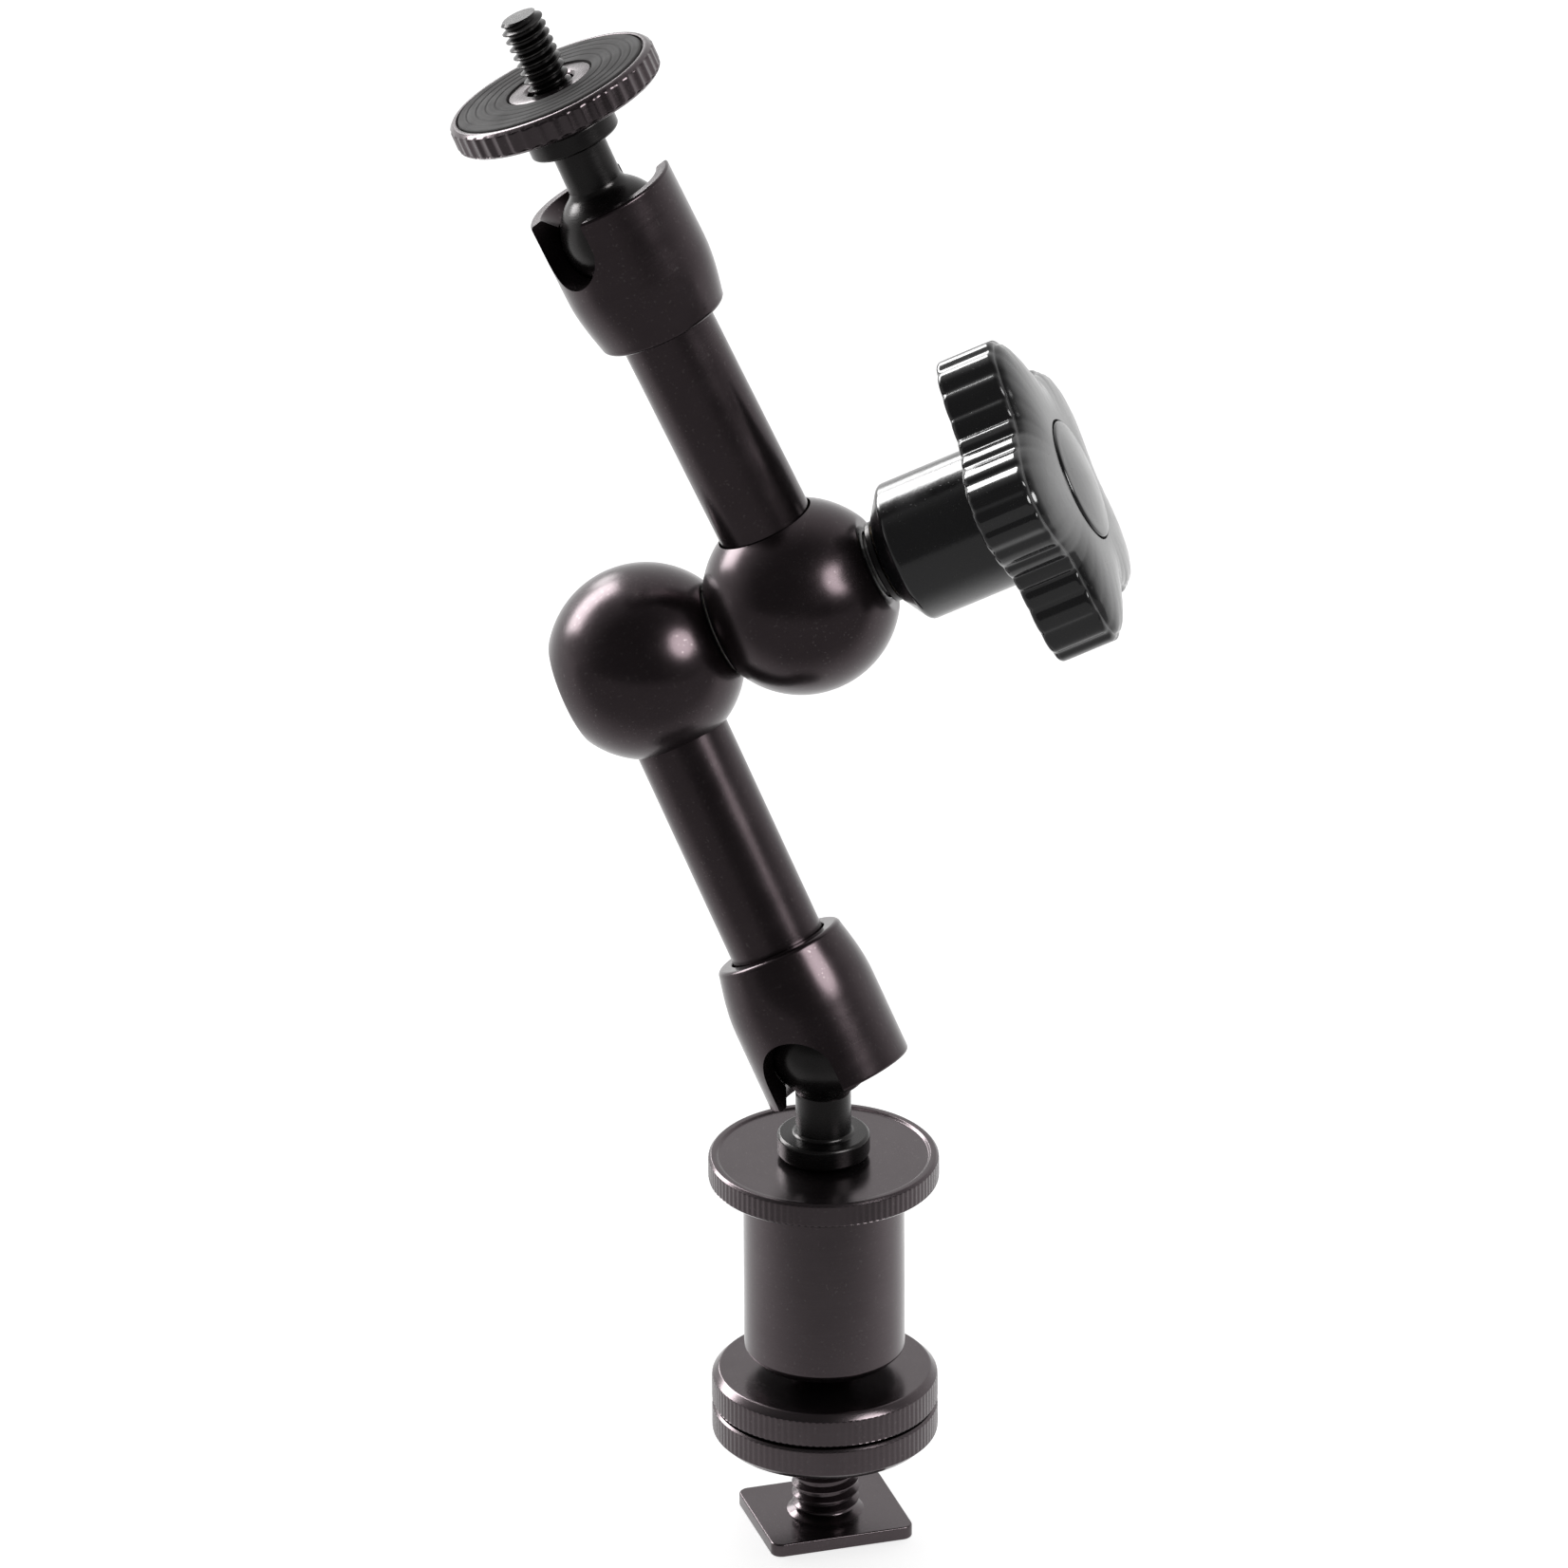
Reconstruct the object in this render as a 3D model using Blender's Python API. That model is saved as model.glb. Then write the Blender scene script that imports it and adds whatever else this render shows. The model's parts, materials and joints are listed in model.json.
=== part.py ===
"""Articulating friction arm: two tube arms on a knob-clamped elbow, a ball stud with a lock disc at
each end, and a shoe adapter at the bottom. Metres, +Z up, origin under the middle of the shoe foot."""

import math

import bmesh
import bpy

# Clearance between pieces that touch on the real arm
GAP = 0.0003

# Pose of the arm, in degrees
LOWER_PAN = 132.6
LOWER_LEAN = 28.4
LOWER_ROLL = -154.5
ELBOW_BEND = 8.4
UPPER_SWIVEL = 13.5
UPPER_LEAN = 1.9

# Shoe foot and its stem
FOOT_LENGTH = 0.0210
FOOT_WIDTH = 0.0186
FOOT_THICKNESS = 0.0020
FOOT_CORNER = 0.0016
STEM_RADIUS = 0.0048
STEM_FILLET = 0.0007
STEM_TIP = 0.0007
STEM_ENGAGEMENT = 0.0125
SHOE_OPENING = 0.0123

# Clamp disc and lock ring on the stem
CLAMP_RADIUS = 0.0161
CLAMP_THICKNESS = 0.0052
CLAMP_UNDERCUT = 0.0012
RING_THICKNESS = 0.0051
RING_SHOULDER = 0.0010
RING_EDGE = 0.0004
RING_HEADROOM = 0.0022

# Adapter barrel
BARREL_RADIUS = 0.01145
BARREL_LENGTH = 0.0276
BARREL_FOOT_CHAMFER = 0.0015
BARREL_EDGE = 0.0006

# Ball studs
BALL_RADIUS = 0.0079
NECK_RADIUS = 0.00395
NECK_FILLET = 0.0005
FLANGE_RADIUS = 0.0066
FLANGE_THICKNESS = 0.0032
FLANGE_EDGE = 0.00035
FLANGE_REACH = 0.0173
SCREW_RADIUS = 0.003175
SCREW_LENGTH = 0.0168
SCREW_TIP = 0.0007

# Lock discs on the studs
LOWER_DISC_RADIUS = 0.0164
LOWER_DISC_THICKNESS = 0.00375
UPPER_DISC_RADIUS = 0.0155
UPPER_DISC_THICKNESS = 0.0040
UPPER_DISC_ADVANCE = 0.0018
DISC_RIM_WIDTH = 0.0012
DISC_DISH = 0.0003
DISC_EDGE = 0.0006
DISC_FLUTES = 44
DISC_FLUTE_DEPTH = 0.00025
PAD_INNER_RADIUS = 0.0065
PAD_THICKNESS = 0.0010
PAD_PROUD = 0.0002

# Arm tubes and the rods inside them
ARM_LENGTH = 0.0603
TUBE_RADIUS = 0.00685
TUBE_EDGE = 0.0004
TUBE_SOCKET = 0.0080
TUBE_ENGAGEMENT = 0.0063
ROD_RADIUS = 0.0025

# Socket cups
CUP_WALL = 0.0025
CUP_LENGTH = 0.0213
CUP_REACH = 0.0058
CUP_SHOULDER_WALL = 0.0023
CUP_SHOULDER_ROUND = 0.0008
CUP_TAPER_LENGTH = 0.0085
CUP_EDGE = 0.0004
LIP_ANGLE = 65.0
LIP_FLARE = 0.0015
NOTCH_WIDTH = 0.0113
NOTCH_DEPTH = 0.0096
LOWER_NOTCH_TURN = 20.0
UPPER_NOTCH_TURN = -43.0

# Elbow balls
ELBOW_RADIUS = 0.0140
MATING_REACH = 0.0120
FAR_FLAT_REACH = 0.0116
KNOB_FLAT_REACH = 0.0120
SHOULDER_REACH = 0.0052

# Clamp bolt, wedges, spring and washers
BOLT_RADIUS = 0.0025
BOLT_EDGE = 0.0004
WEDGE_RADIUS = 0.0047
WEDGE_TIP_RADIUS = 0.0035
WEDGE_BASE_REACH = 0.0045
WEDGE_TIP_REACH = 0.0030
BOLT_HEAD_LENGTH = 0.0049
BOLT_KEY_RADIUS = 0.0023
BOLT_KEY_DEPTH = 0.0022
SPRING_WIRE_RADIUS = 0.0004
SPRING_TURNS = 6
FRICTION_WASHER_RADIUS = 0.0060
FRICTION_WASHER_THICKNESS = 0.0012
WEDGE_NECK = 0.0003
THRUST_WASHER_RADIUS = 0.0060
THRUST_WASHER_THICKNESS = 0.0010
THRUST_WASHER_EDGE = 0.0002

# Knob
COLLAR_RADIUS = 0.0103
COLLAR_LENGTH = 0.0182
COLLAR_NOSE_RADIUS = 0.0066
COLLAR_NOSE_LENGTH = 0.0026
COLLAR_FLARE = 0.0009
KNOB_RADIUS = 0.0238
KNOB_VALLEY = 0.0056
KNOB_LOBES = 5
KNOB_SKIRT = 0.0089
KNOB_DOME = 0.0026
KNOB_BACK_EDGE = 0.0009
KNOB_FRONT_ROUND = 0.0014
RIBS_PER_LOBE = 8
RIB_DEPTH = 0.0004
NUT_RADIUS = 0.0056
NUT_LENGTH = 0.0140
BOLT_SETBACK = 0.0014
CAP_RADIUS = 0.0088
CAP_RECESS = 0.0012
CAP_CROWN = 0.0007
CAP_EDGE = 0.0003

# Facets round each kind of piece
FINE = 36
ROUND = 32
MEDIUM = 24
SMALL = 20
COARSE = 12
BALL_STEPS = 7
ELBOW_STEPS = 12
EDGE_STEPS = 3
SEAT_STEPS = 4
SHOULDER_STEPS = 2
HEX_SIDES = 6
COIL_STEPS = 8

# Places that follow from the sizes
CLAMP_BOTTOM = FOOT_THICKNESS + SHOE_OPENING
RING_BOTTOM = CLAMP_BOTTOM + CLAMP_THICKNESS + GAP
BARREL_BOTTOM = RING_BOTTOM + RING_THICKNESS + RING_HEADROOM
BARREL_TOP = BARREL_BOTTOM + BARREL_LENGTH
LOWER_DISC_REACH = FLANGE_REACH + GAP
LOWER_BALL_HEIGHT = BARREL_TOP + GAP + LOWER_DISC_THICKNESS + LOWER_DISC_REACH
POCKET_RADIUS = BALL_RADIUS + GAP
CUP_RADIUS = POCKET_RADIUS + CUP_WALL
CUP_RIM = ARM_LENGTH + CUP_REACH
CUP_BACK = CUP_RIM - CUP_LENGTH
TUBE_END = CUP_BACK + TUBE_ENGAGEMENT
TUBE_BORE = TUBE_RADIUS + GAP
ELBOW_CENTRES = 2 * MATING_REACH + GAP
WEDGE_BORE = WEDGE_RADIUS + GAP
SHAFT_BORE = BOLT_RADIUS + GAP
SPRING_RADIUS = SHAFT_BORE + SPRING_WIRE_RADIUS
SPRING_BORE = SPRING_RADIUS + SPRING_WIRE_RADIUS + GAP
THRUST_START = KNOB_FLAT_REACH + WEDGE_NECK + GAP
COLLAR_START = THRUST_START + THRUST_WASHER_THICKNESS + GAP
KNOB_BACK = COLLAR_START + COLLAR_LENGTH


def clear_scene():
    for item in list(bpy.data.objects):
        bpy.data.objects.remove(item, do_unlink=True)


def finish(name, colour, roughness, metallic):
    """A Principled material."""
    material = bpy.data.materials.new(name)
    material.use_nodes = True
    shader = material.node_tree.nodes["Principled BSDF"]
    shader.inputs["Base Color"].default_value = (*colour, 1.0)
    shader.inputs["Roughness"].default_value = roughness
    shader.inputs["Metallic"].default_value = metallic
    return material


def axis_frame(name, parent=None, location=(0.0, 0.0, 0.0), turn=(0.0, 0.0, 0.0)):
    """An empty whose local axes are those of the joint or arm it stands for; turn is in degrees."""
    frame = bpy.data.objects.new(name, None)
    frame.empty_display_size = 0.01
    frame.parent = parent
    frame.location = location
    frame.rotation_euler = [math.radians(angle) for angle in turn]
    bpy.context.scene.collection.objects.link(frame)
    return frame


def place(name, shape, parent, material):
    """Turns a bmesh into an object carried by its joint's frame."""
    bmesh.ops.recalc_face_normals(shape, faces=shape.faces)
    mesh = bpy.data.meshes.new(name)
    shape.to_mesh(mesh)
    shape.free()
    mesh.shade_smooth()
    mesh.set_sharp_from_angle(angle=math.radians(32))
    piece = bpy.data.objects.new(name, mesh)
    piece.parent = parent
    if material:
        mesh.materials.append(material)
    bpy.context.scene.collection.objects.link(piece)
    return piece


def arc(radius, first, last, steps, centre=0.0, offset=0.0):
    """Profile points on a circle offset from the axis; angles in degrees from +Z."""
    angles = [math.radians(first + (last - first) * i / steps) for i in range(steps + 1)]
    return [(offset + radius * math.sin(angle), centre + radius * math.cos(angle)) for angle in angles]


def turned(profile, segments):
    """Revolves (radius, height) points about Z. A profile that doesn't reach the axis is a closed ring."""
    shape = bmesh.new()
    points = [shape.verts.new((radius, 0.0, height)) for radius, height in profile]
    links = list(zip(points, points[1:]))
    if profile[0][0] > 0:
        links.append((points[-1], points[0]))
    edges = [shape.edges.new(link) for link in links]
    bmesh.ops.spin(
        shape,
        geom=points + edges,
        cent=(0.0, 0.0, 0.0),
        axis=(0.0, 0.0, 1.0),
        angle=2 * math.pi,
        steps=segments,
        use_merge=True,
    )
    bmesh.ops.remove_doubles(shape, verts=shape.verts, dist=1e-7)
    return shape


def extruded(outline, bottom, top):
    """A prism from an outline of (x, y) points."""
    shape = bmesh.new()
    base = shape.faces.new([shape.verts.new((x, y, bottom)) for x, y in outline])
    walls = bmesh.ops.extrude_face_region(shape, geom=[base])
    raised = [item for item in walls["geom"] if isinstance(item, bmesh.types.BMVert)]
    bmesh.ops.translate(shape, verts=raised, vec=(0.0, 0.0, top - bottom))
    return shape


def stacked(rings):
    """A solid skinned over rings of points, each with as many points, and capped at both ends."""
    shape = bmesh.new()
    loops = []
    for ring in rings:
        points = [shape.verts.new(point) for point in ring]
        loops.append([shape.edges.new((points[i - 1], points[i])) for i in range(len(points))])
    for below, above in zip(loops, loops[1:]):
        bmesh.ops.bridge_loops(shape, edges=below + above)
    for loop in (loops[0], loops[-1]):
        bmesh.ops.contextual_create(shape, geom=loop)
    return shape


def combine(piece, tool_shape, operation="DIFFERENCE", turn=(0.0, 0.0, 0.0)):
    """Adds an exact Boolean of a hidden tool that shares the piece's frame."""
    tool = place(piece.name + "_tool", tool_shape, piece.parent, None)
    tool.rotation_euler = [math.radians(angle) for angle in turn]
    tool.hide_render = True
    tool.display_type = "WIRE"
    modifier = piece.modifiers.new(operation.title(), "BOOLEAN")
    modifier.operation = operation
    modifier.object = tool


def rounded_plate(length, width, corner):
    """Outline of a rectangle with round corners."""
    outline = []
    for quarter, (side_x, side_y) in enumerate(((1, 1), (-1, 1), (-1, -1), (1, -1))):
        centre_x = side_x * (length / 2 - corner)
        centre_y = side_y * (width / 2 - corner)
        for step in range(EDGE_STEPS + 1):
            angle = math.radians(90 * (quarter + step / EDGE_STEPS))
            outline.append((centre_x + corner * math.cos(angle), centre_y + corner * math.sin(angle)))
    return outline


def disc_profile(bore, radius, bottom, top, lower_edge, upper_edge):
    """Ring section with chamfered outer edges."""
    return [
        (bore, bottom),
        (radius - lower_edge, bottom),
        (radius, bottom + lower_edge),
        (radius, top - upper_edge),
        (radius - upper_edge, top),
        (bore, top),
    ]


def bore_tool(radius, bottom, top):
    """Section of a plain round cutter."""
    return [(0.0, bottom), (radius, bottom), (radius, top), (0.0, top)]


def shoe_adapter(base, black, satin):
    """Foot with stem, clamp disc, lock ring and barrel."""
    stem_top = BARREL_BOTTOM + STEM_ENGAGEMENT
    foot = place(
        "shoe_foot",
        extruded(rounded_plate(FOOT_LENGTH, FOOT_WIDTH, FOOT_CORNER), 0.0, FOOT_THICKNESS),
        base,
        black,
    )
    stem = [
        (0.0, FOOT_THICKNESS / 2),
        (STEM_RADIUS + STEM_FILLET, FOOT_THICKNESS / 2),
        (STEM_RADIUS + STEM_FILLET, FOOT_THICKNESS),
        (STEM_RADIUS, FOOT_THICKNESS + STEM_FILLET),
        (STEM_RADIUS, stem_top - STEM_TIP),
        (STEM_RADIUS - STEM_TIP, stem_top),
        (0.0, stem_top),
    ]
    combine(foot, turned(stem, MEDIUM), "UNION")

    bore = STEM_RADIUS + GAP
    clamp_top = CLAMP_BOTTOM + CLAMP_THICKNESS
    clamp = disc_profile(bore, CLAMP_RADIUS, CLAMP_BOTTOM, clamp_top, CLAMP_UNDERCUT, RING_EDGE)
    place("shoe_clamp_disc", turned(clamp, FINE), base, satin)

    ring_top = RING_BOTTOM + RING_THICKNESS
    ring = disc_profile(bore, CLAMP_RADIUS, RING_BOTTOM, ring_top, RING_EDGE, RING_SHOULDER)
    place("shoe_lock_ring", turned(ring, FINE), base, satin)

    screw_floor = BARREL_TOP - (SCREW_LENGTH - LOWER_DISC_THICKNESS - GAP)
    barrel = [
        (0.0, stem_top + GAP),
        (bore, stem_top + GAP),
        (bore, BARREL_BOTTOM),
        (BARREL_RADIUS - BARREL_FOOT_CHAMFER, BARREL_BOTTOM),
        (BARREL_RADIUS, BARREL_BOTTOM + BARREL_FOOT_CHAMFER),
        (BARREL_RADIUS, BARREL_TOP - BARREL_EDGE),
        (BARREL_RADIUS - BARREL_EDGE, BARREL_TOP),
        (SCREW_RADIUS + GAP, BARREL_TOP),
        (SCREW_RADIUS + GAP, screw_floor),
        (0.0, screw_floor),
    ]
    place("adapter_barrel", turned(barrel, ROUND), base, satin)


def ball_stud(name, stud_axis, steel):
    """Ball, waisted neck, stop flange and screw; the screw points along +Z."""
    neck_start = NECK_RADIUS + NECK_FILLET
    join_angle = math.degrees(math.asin(neck_start / BALL_RADIUS))
    flange_start = FLANGE_REACH - FLANGE_THICKNESS
    screw_end = FLANGE_REACH + SCREW_LENGTH
    profile = arc(BALL_RADIUS, 180.0, join_angle, BALL_STEPS)
    profile += [
        (NECK_RADIUS, profile[-1][1] + NECK_FILLET),
        (NECK_RADIUS, flange_start - NECK_FILLET),
        (NECK_RADIUS + NECK_FILLET, flange_start),
        (FLANGE_RADIUS - FLANGE_EDGE, flange_start),
        (FLANGE_RADIUS, flange_start + FLANGE_EDGE),
        (FLANGE_RADIUS, FLANGE_REACH - FLANGE_EDGE),
        (FLANGE_RADIUS - FLANGE_EDGE, FLANGE_REACH),
        (SCREW_RADIUS, FLANGE_REACH),
        (SCREW_RADIUS, screw_end - SCREW_TIP),
        (SCREW_RADIUS - SCREW_TIP, screw_end),
        (0.0, screw_end),
    ]
    profile[0] = (0.0, -BALL_RADIUS)
    return place(name, turned(profile, MEDIUM), stud_axis, steel)


def fluted_disc(radius, flutes, depth, sections):
    """Rings of a disc whose rim is fluted; sections are (inset, height) pairs."""
    count = 2 * flutes
    rings = []
    for inset, height in sections:
        ring = []
        for i in range(count):
            angle = 2 * math.pi * i / count
            reach = radius - inset - (depth if i % 2 else 0.0)
            ring.append((reach * math.cos(angle), reach * math.sin(angle), height))
        rings.append(ring)
    return stacked(rings)


def lock_discs(lower_stud_axis, upper_stud_axis, satin, rubber):
    """The two disc nuts and the upper one's rubber ring."""
    bore = SCREW_RADIUS + GAP
    bottom = LOWER_DISC_REACH
    top = bottom + LOWER_DISC_THICKNESS
    dish_radius = LOWER_DISC_RADIUS - DISC_RIM_WIDTH
    edge = DISC_DISH
    lower = [
        (bore, bottom + DISC_DISH),
        (dish_radius - DISC_DISH, bottom + DISC_DISH),
        (dish_radius, bottom),
        (LOWER_DISC_RADIUS - edge, bottom),
        (LOWER_DISC_RADIUS, bottom + edge),
        (LOWER_DISC_RADIUS, top - edge),
        (LOWER_DISC_RADIUS - edge, top),
        (bore, top),
    ]
    place("lower_lock_disc", turned(lower, FINE), lower_stud_axis, satin)

    bottom = LOWER_DISC_REACH + UPPER_DISC_ADVANCE
    top = bottom + UPPER_DISC_THICKNESS
    sections = [
        (DISC_EDGE, bottom),
        (0.0, bottom + DISC_EDGE),
        (0.0, top - DISC_EDGE),
        (DISC_EDGE, top),
    ]
    shape = fluted_disc(UPPER_DISC_RADIUS, DISC_FLUTES, DISC_FLUTE_DEPTH, sections)
    disc = place("upper_lock_disc", shape, upper_stud_axis, satin)
    recess_radius = UPPER_DISC_RADIUS - DISC_RIM_WIDTH
    recess_floor = top + PAD_PROUD - PAD_THICKNESS - GAP
    combine(disc, turned(bore_tool(bore, bottom - GAP, top + GAP), SMALL))
    pad_well = [
        (PAD_INNER_RADIUS - GAP, recess_floor),
        (recess_radius, recess_floor),
        (recess_radius, top + PAD_THICKNESS),
        (PAD_INNER_RADIUS - GAP, top + PAD_THICKNESS),
    ]
    combine(disc, turned(pad_well, FINE))
    pad = [
        (PAD_INNER_RADIUS, recess_floor + GAP),
        (recess_radius - GAP, recess_floor + GAP),
        (recess_radius - GAP, top),
        (recess_radius - GAP - PAD_PROUD, top + PAD_PROUD),
        (PAD_INNER_RADIUS, top + PAD_PROUD),
    ]
    place("upper_disc_pad", turned(pad, FINE), upper_stud_axis, rubber)


def socket_cup(name, arm_axis, notch_turn, black):
    """Cup over the tube's end, with a ball pocket, a flared lip and two opposite notches."""
    shoulder = TUBE_BORE + CUP_SHOULDER_WALL
    taper_start = CUP_BACK + CUP_SHOULDER_ROUND
    pocket_start = 180 - math.degrees(math.asin(TUBE_BORE / POCKET_RADIUS))
    lip = arc(POCKET_RADIUS, LIP_ANGLE, pocket_start, BALL_STEPS - 1, ARM_LENGTH)
    profile = [(TUBE_BORE, CUP_BACK)]
    profile += arc(CUP_SHOULDER_ROUND, 180.0, 90.0, SHOULDER_STEPS, taper_start, shoulder - CUP_SHOULDER_ROUND)
    for step in range(1, EDGE_STEPS + 1):
        share = step / EDGE_STEPS
        swell = (CUP_RADIUS - shoulder) * math.sin(0.5 * math.pi * share)
        profile.append((shoulder + swell, taper_start + CUP_TAPER_LENGTH * share))
    profile += [
        (CUP_RADIUS, CUP_RIM - CUP_EDGE),
        (CUP_RADIUS - CUP_EDGE, CUP_RIM),
        (lip[0][0] + LIP_FLARE, CUP_RIM),
    ]
    cup = place(name, turned(profile + lip, FINE), arm_axis, black)

    half = NOTCH_WIDTH / 2
    round_centre = CUP_RIM - NOTCH_DEPTH + half
    outline = [(half, CUP_RIM + half), (-half, CUP_RIM + half)]
    for step in range(COARSE + 1):
        angle = math.pi * (1 + step / COARSE)
        outline.append((half * math.cos(angle), round_centre + half * math.sin(angle)))
    reach = CUP_RADIUS + half
    combine(cup, extruded(outline, -reach, reach), turn=(90.0, 0.0, notch_turn))


def arm_section(prefix, arm_axis, notch_turn, black, steel, brass):
    """Tube, cup, push rod and ball seat of one arm; +Z runs from the elbow ball to the cup."""
    rod_bore = ROD_RADIUS + GAP
    start = TUBE_SOCKET + GAP
    tube = [
        (rod_bore, start),
        (TUBE_RADIUS - TUBE_EDGE, start),
        (TUBE_RADIUS, start + TUBE_EDGE),
        (TUBE_RADIUS, TUBE_END - TUBE_EDGE),
        (TUBE_RADIUS - TUBE_EDGE, TUBE_END),
        (rod_bore, TUBE_END),
    ]
    place(prefix + "_arm_tube", turned(tube, ROUND), arm_axis, black)
    socket_cup(prefix + "_socket_cup", arm_axis, notch_turn, black)

    wedge_run = WEDGE_BASE_REACH + WEDGE_TIP_REACH
    slope = math.atan((WEDGE_RADIUS - WEDGE_TIP_RADIUS) / wedge_run)
    wedge_at_rod = WEDGE_TIP_RADIUS + WEDGE_TIP_REACH * math.tan(slope)
    dome_centre = wedge_at_rod + (ROD_RADIUS + GAP) / math.cos(slope)
    rod = arc(ROD_RADIUS, 180.0, 90.0, SEAT_STEPS, dome_centre)
    rod[0] = (0.0, dome_centre - ROD_RADIUS)
    rod += [(ROD_RADIUS, TUBE_END), (0.0, TUBE_END)]
    place(prefix + "_push_rod", turned(rod, COARSE), arm_axis, steel)

    seat_back = TUBE_END + GAP
    hollow = arc(
        POCKET_RADIUS,
        180 - math.degrees(math.asin((TUBE_RADIUS - TUBE_EDGE) / POCKET_RADIUS)),
        180.0,
        SEAT_STEPS,
        ARM_LENGTH,
    )
    hollow[-1] = (0.0, ARM_LENGTH - POCKET_RADIUS)
    seat = [
        (0.0, seat_back),
        (TUBE_RADIUS - TUBE_EDGE, seat_back),
        (TUBE_RADIUS, seat_back + TUBE_EDGE),
        (TUBE_RADIUS, hollow[0][1] - TUBE_EDGE),
    ]
    place(prefix + "_ball_seat", turned(seat + hollow, SMALL), arm_axis, brass)


def elbow_ball(name, arm_axis, mating_side, outer_flat, black):
    """Ball block bored along the clamp axis, X, and along the tube, Z."""
    flat_angle = math.degrees(math.acos(outer_flat / ELBOW_RADIUS))
    mating_angle = math.degrees(math.acos(MATING_REACH / ELBOW_RADIUS))
    washer_recess = (FRICTION_WASHER_THICKNESS + GAP) / 2
    recess_radius = FRICTION_WASHER_RADIUS + GAP
    profile = [
        (WEDGE_BORE, -outer_flat),
        (WEDGE_BORE, SHOULDER_REACH),
        (SPRING_BORE, SHOULDER_REACH),
        (SPRING_BORE, MATING_REACH - washer_recess),
        (recess_radius, MATING_REACH - washer_recess),
        (recess_radius, MATING_REACH),
    ]
    profile += arc(ELBOW_RADIUS, mating_angle, 180 - flat_angle, ELBOW_STEPS)
    clamp_axis = axis_frame(name + "_axis", arm_axis, turn=(0.0, 90.0 * mating_side, 0.0))
    ball = place(name, turned(profile, FINE), clamp_axis, black)
    drill = [
        (0.0, 0.0),
        (ROD_RADIUS + GAP, 0.0),
        (ROD_RADIUS + GAP, TUBE_SOCKET),
        (TUBE_BORE, TUBE_SOCKET),
        (TUBE_BORE, ELBOW_RADIUS + GAP),
        (0.0, ELBOW_RADIUS + GAP),
    ]
    combine(ball, turned(drill, ROUND), turn=(0.0, -90.0 * mating_side, 0.0))


def helix(name, axis, radius, wire, start, end, turns, steel):
    """A coil of round wire about Z."""
    curve = bpy.data.curves.new(name, "CURVE")
    curve.dimensions = "3D"
    curve.bevel_depth = wire
    curve.bevel_resolution = 1
    curve.use_fill_caps = True
    spline = curve.splines.new("POLY")
    count = turns * COIL_STEPS + 1
    spline.points.add(count - 1)
    for i, point in enumerate(spline.points):
        angle = 2 * math.pi * i / COIL_STEPS
        height = start + wire + (end - start - 2 * wire) * i / (count - 1)
        point.co = (radius * math.cos(angle), radius * math.sin(angle), height, 1.0)
    curve.materials.append(steel)
    coil = bpy.data.objects.new(name, curve)
    coil.parent = axis
    bpy.context.scene.collection.objects.link(coil)


def clamp_train(lower_arm_axis, upper_arm_axis, steel, brass, washer_white):
    """Bolt with its integral wedge, spring, washers and the upper wedge sleeve."""
    lower_clamp_axis = axis_frame("draw_bolt_axis", lower_arm_axis, turn=(0.0, 90.0, 0.0))
    upper_clamp_axis = axis_frame("knob_axis", upper_arm_axis, turn=(0.0, 90.0, 0.0))
    head_end = -WEDGE_BASE_REACH - BOLT_HEAD_LENGTH
    bolt_end = ELBOW_CENTRES + COLLAR_START + NUT_LENGTH - BOLT_SETBACK
    bolt = [
        (0.0, head_end),
        (WEDGE_RADIUS - BOLT_EDGE, head_end),
        (WEDGE_RADIUS, head_end + BOLT_EDGE),
        (WEDGE_RADIUS, -WEDGE_BASE_REACH),
        (WEDGE_TIP_RADIUS, WEDGE_TIP_REACH),
        (BOLT_RADIUS, WEDGE_TIP_REACH),
        (BOLT_RADIUS, bolt_end - SCREW_TIP),
        (BOLT_RADIUS - SCREW_TIP, bolt_end),
        (0.0, bolt_end),
    ]
    draw_bolt = place("draw_bolt", turned(bolt, SMALL), lower_clamp_axis, steel)
    key = turned(bore_tool(BOLT_KEY_RADIUS, head_end - GAP, head_end + BOLT_KEY_DEPTH), HEX_SIDES)
    combine(draw_bolt, key)

    helix(
        "release_spring",
        lower_clamp_axis,
        SPRING_RADIUS,
        SPRING_WIRE_RADIUS,
        WEDGE_TIP_REACH + GAP,
        ELBOW_CENTRES - WEDGE_TIP_REACH - GAP,
        SPRING_TURNS,
        steel,
    )

    half = FRICTION_WASHER_THICKNESS / 2
    middle = -(MATING_REACH + GAP / 2)
    washer = [
        (SPRING_BORE, middle - half),
        (FRICTION_WASHER_RADIUS, middle - half),
        (FRICTION_WASHER_RADIUS, middle + half),
        (SPRING_BORE, middle + half),
    ]
    place("elbow_friction_washer", turned(washer, MEDIUM), upper_clamp_axis, washer_white)

    sleeve_end = KNOB_FLAT_REACH + WEDGE_NECK
    sleeve = [
        (SHAFT_BORE, -WEDGE_TIP_REACH),
        (WEDGE_TIP_RADIUS, -WEDGE_TIP_REACH),
        (WEDGE_RADIUS, WEDGE_BASE_REACH),
        (WEDGE_RADIUS, sleeve_end),
        (SHAFT_BORE, sleeve_end),
    ]
    place("upper_wedge_cone", turned(sleeve, SMALL), upper_clamp_axis, steel)
    thrust = disc_profile(
        SHAFT_BORE,
        THRUST_WASHER_RADIUS,
        THRUST_START,
        THRUST_START + THRUST_WASHER_THICKNESS,
        THRUST_WASHER_EDGE,
        THRUST_WASHER_EDGE,
    )
    place("thrust_washer", turned(thrust, MEDIUM), upper_clamp_axis, brass)
    return upper_clamp_axis


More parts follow.
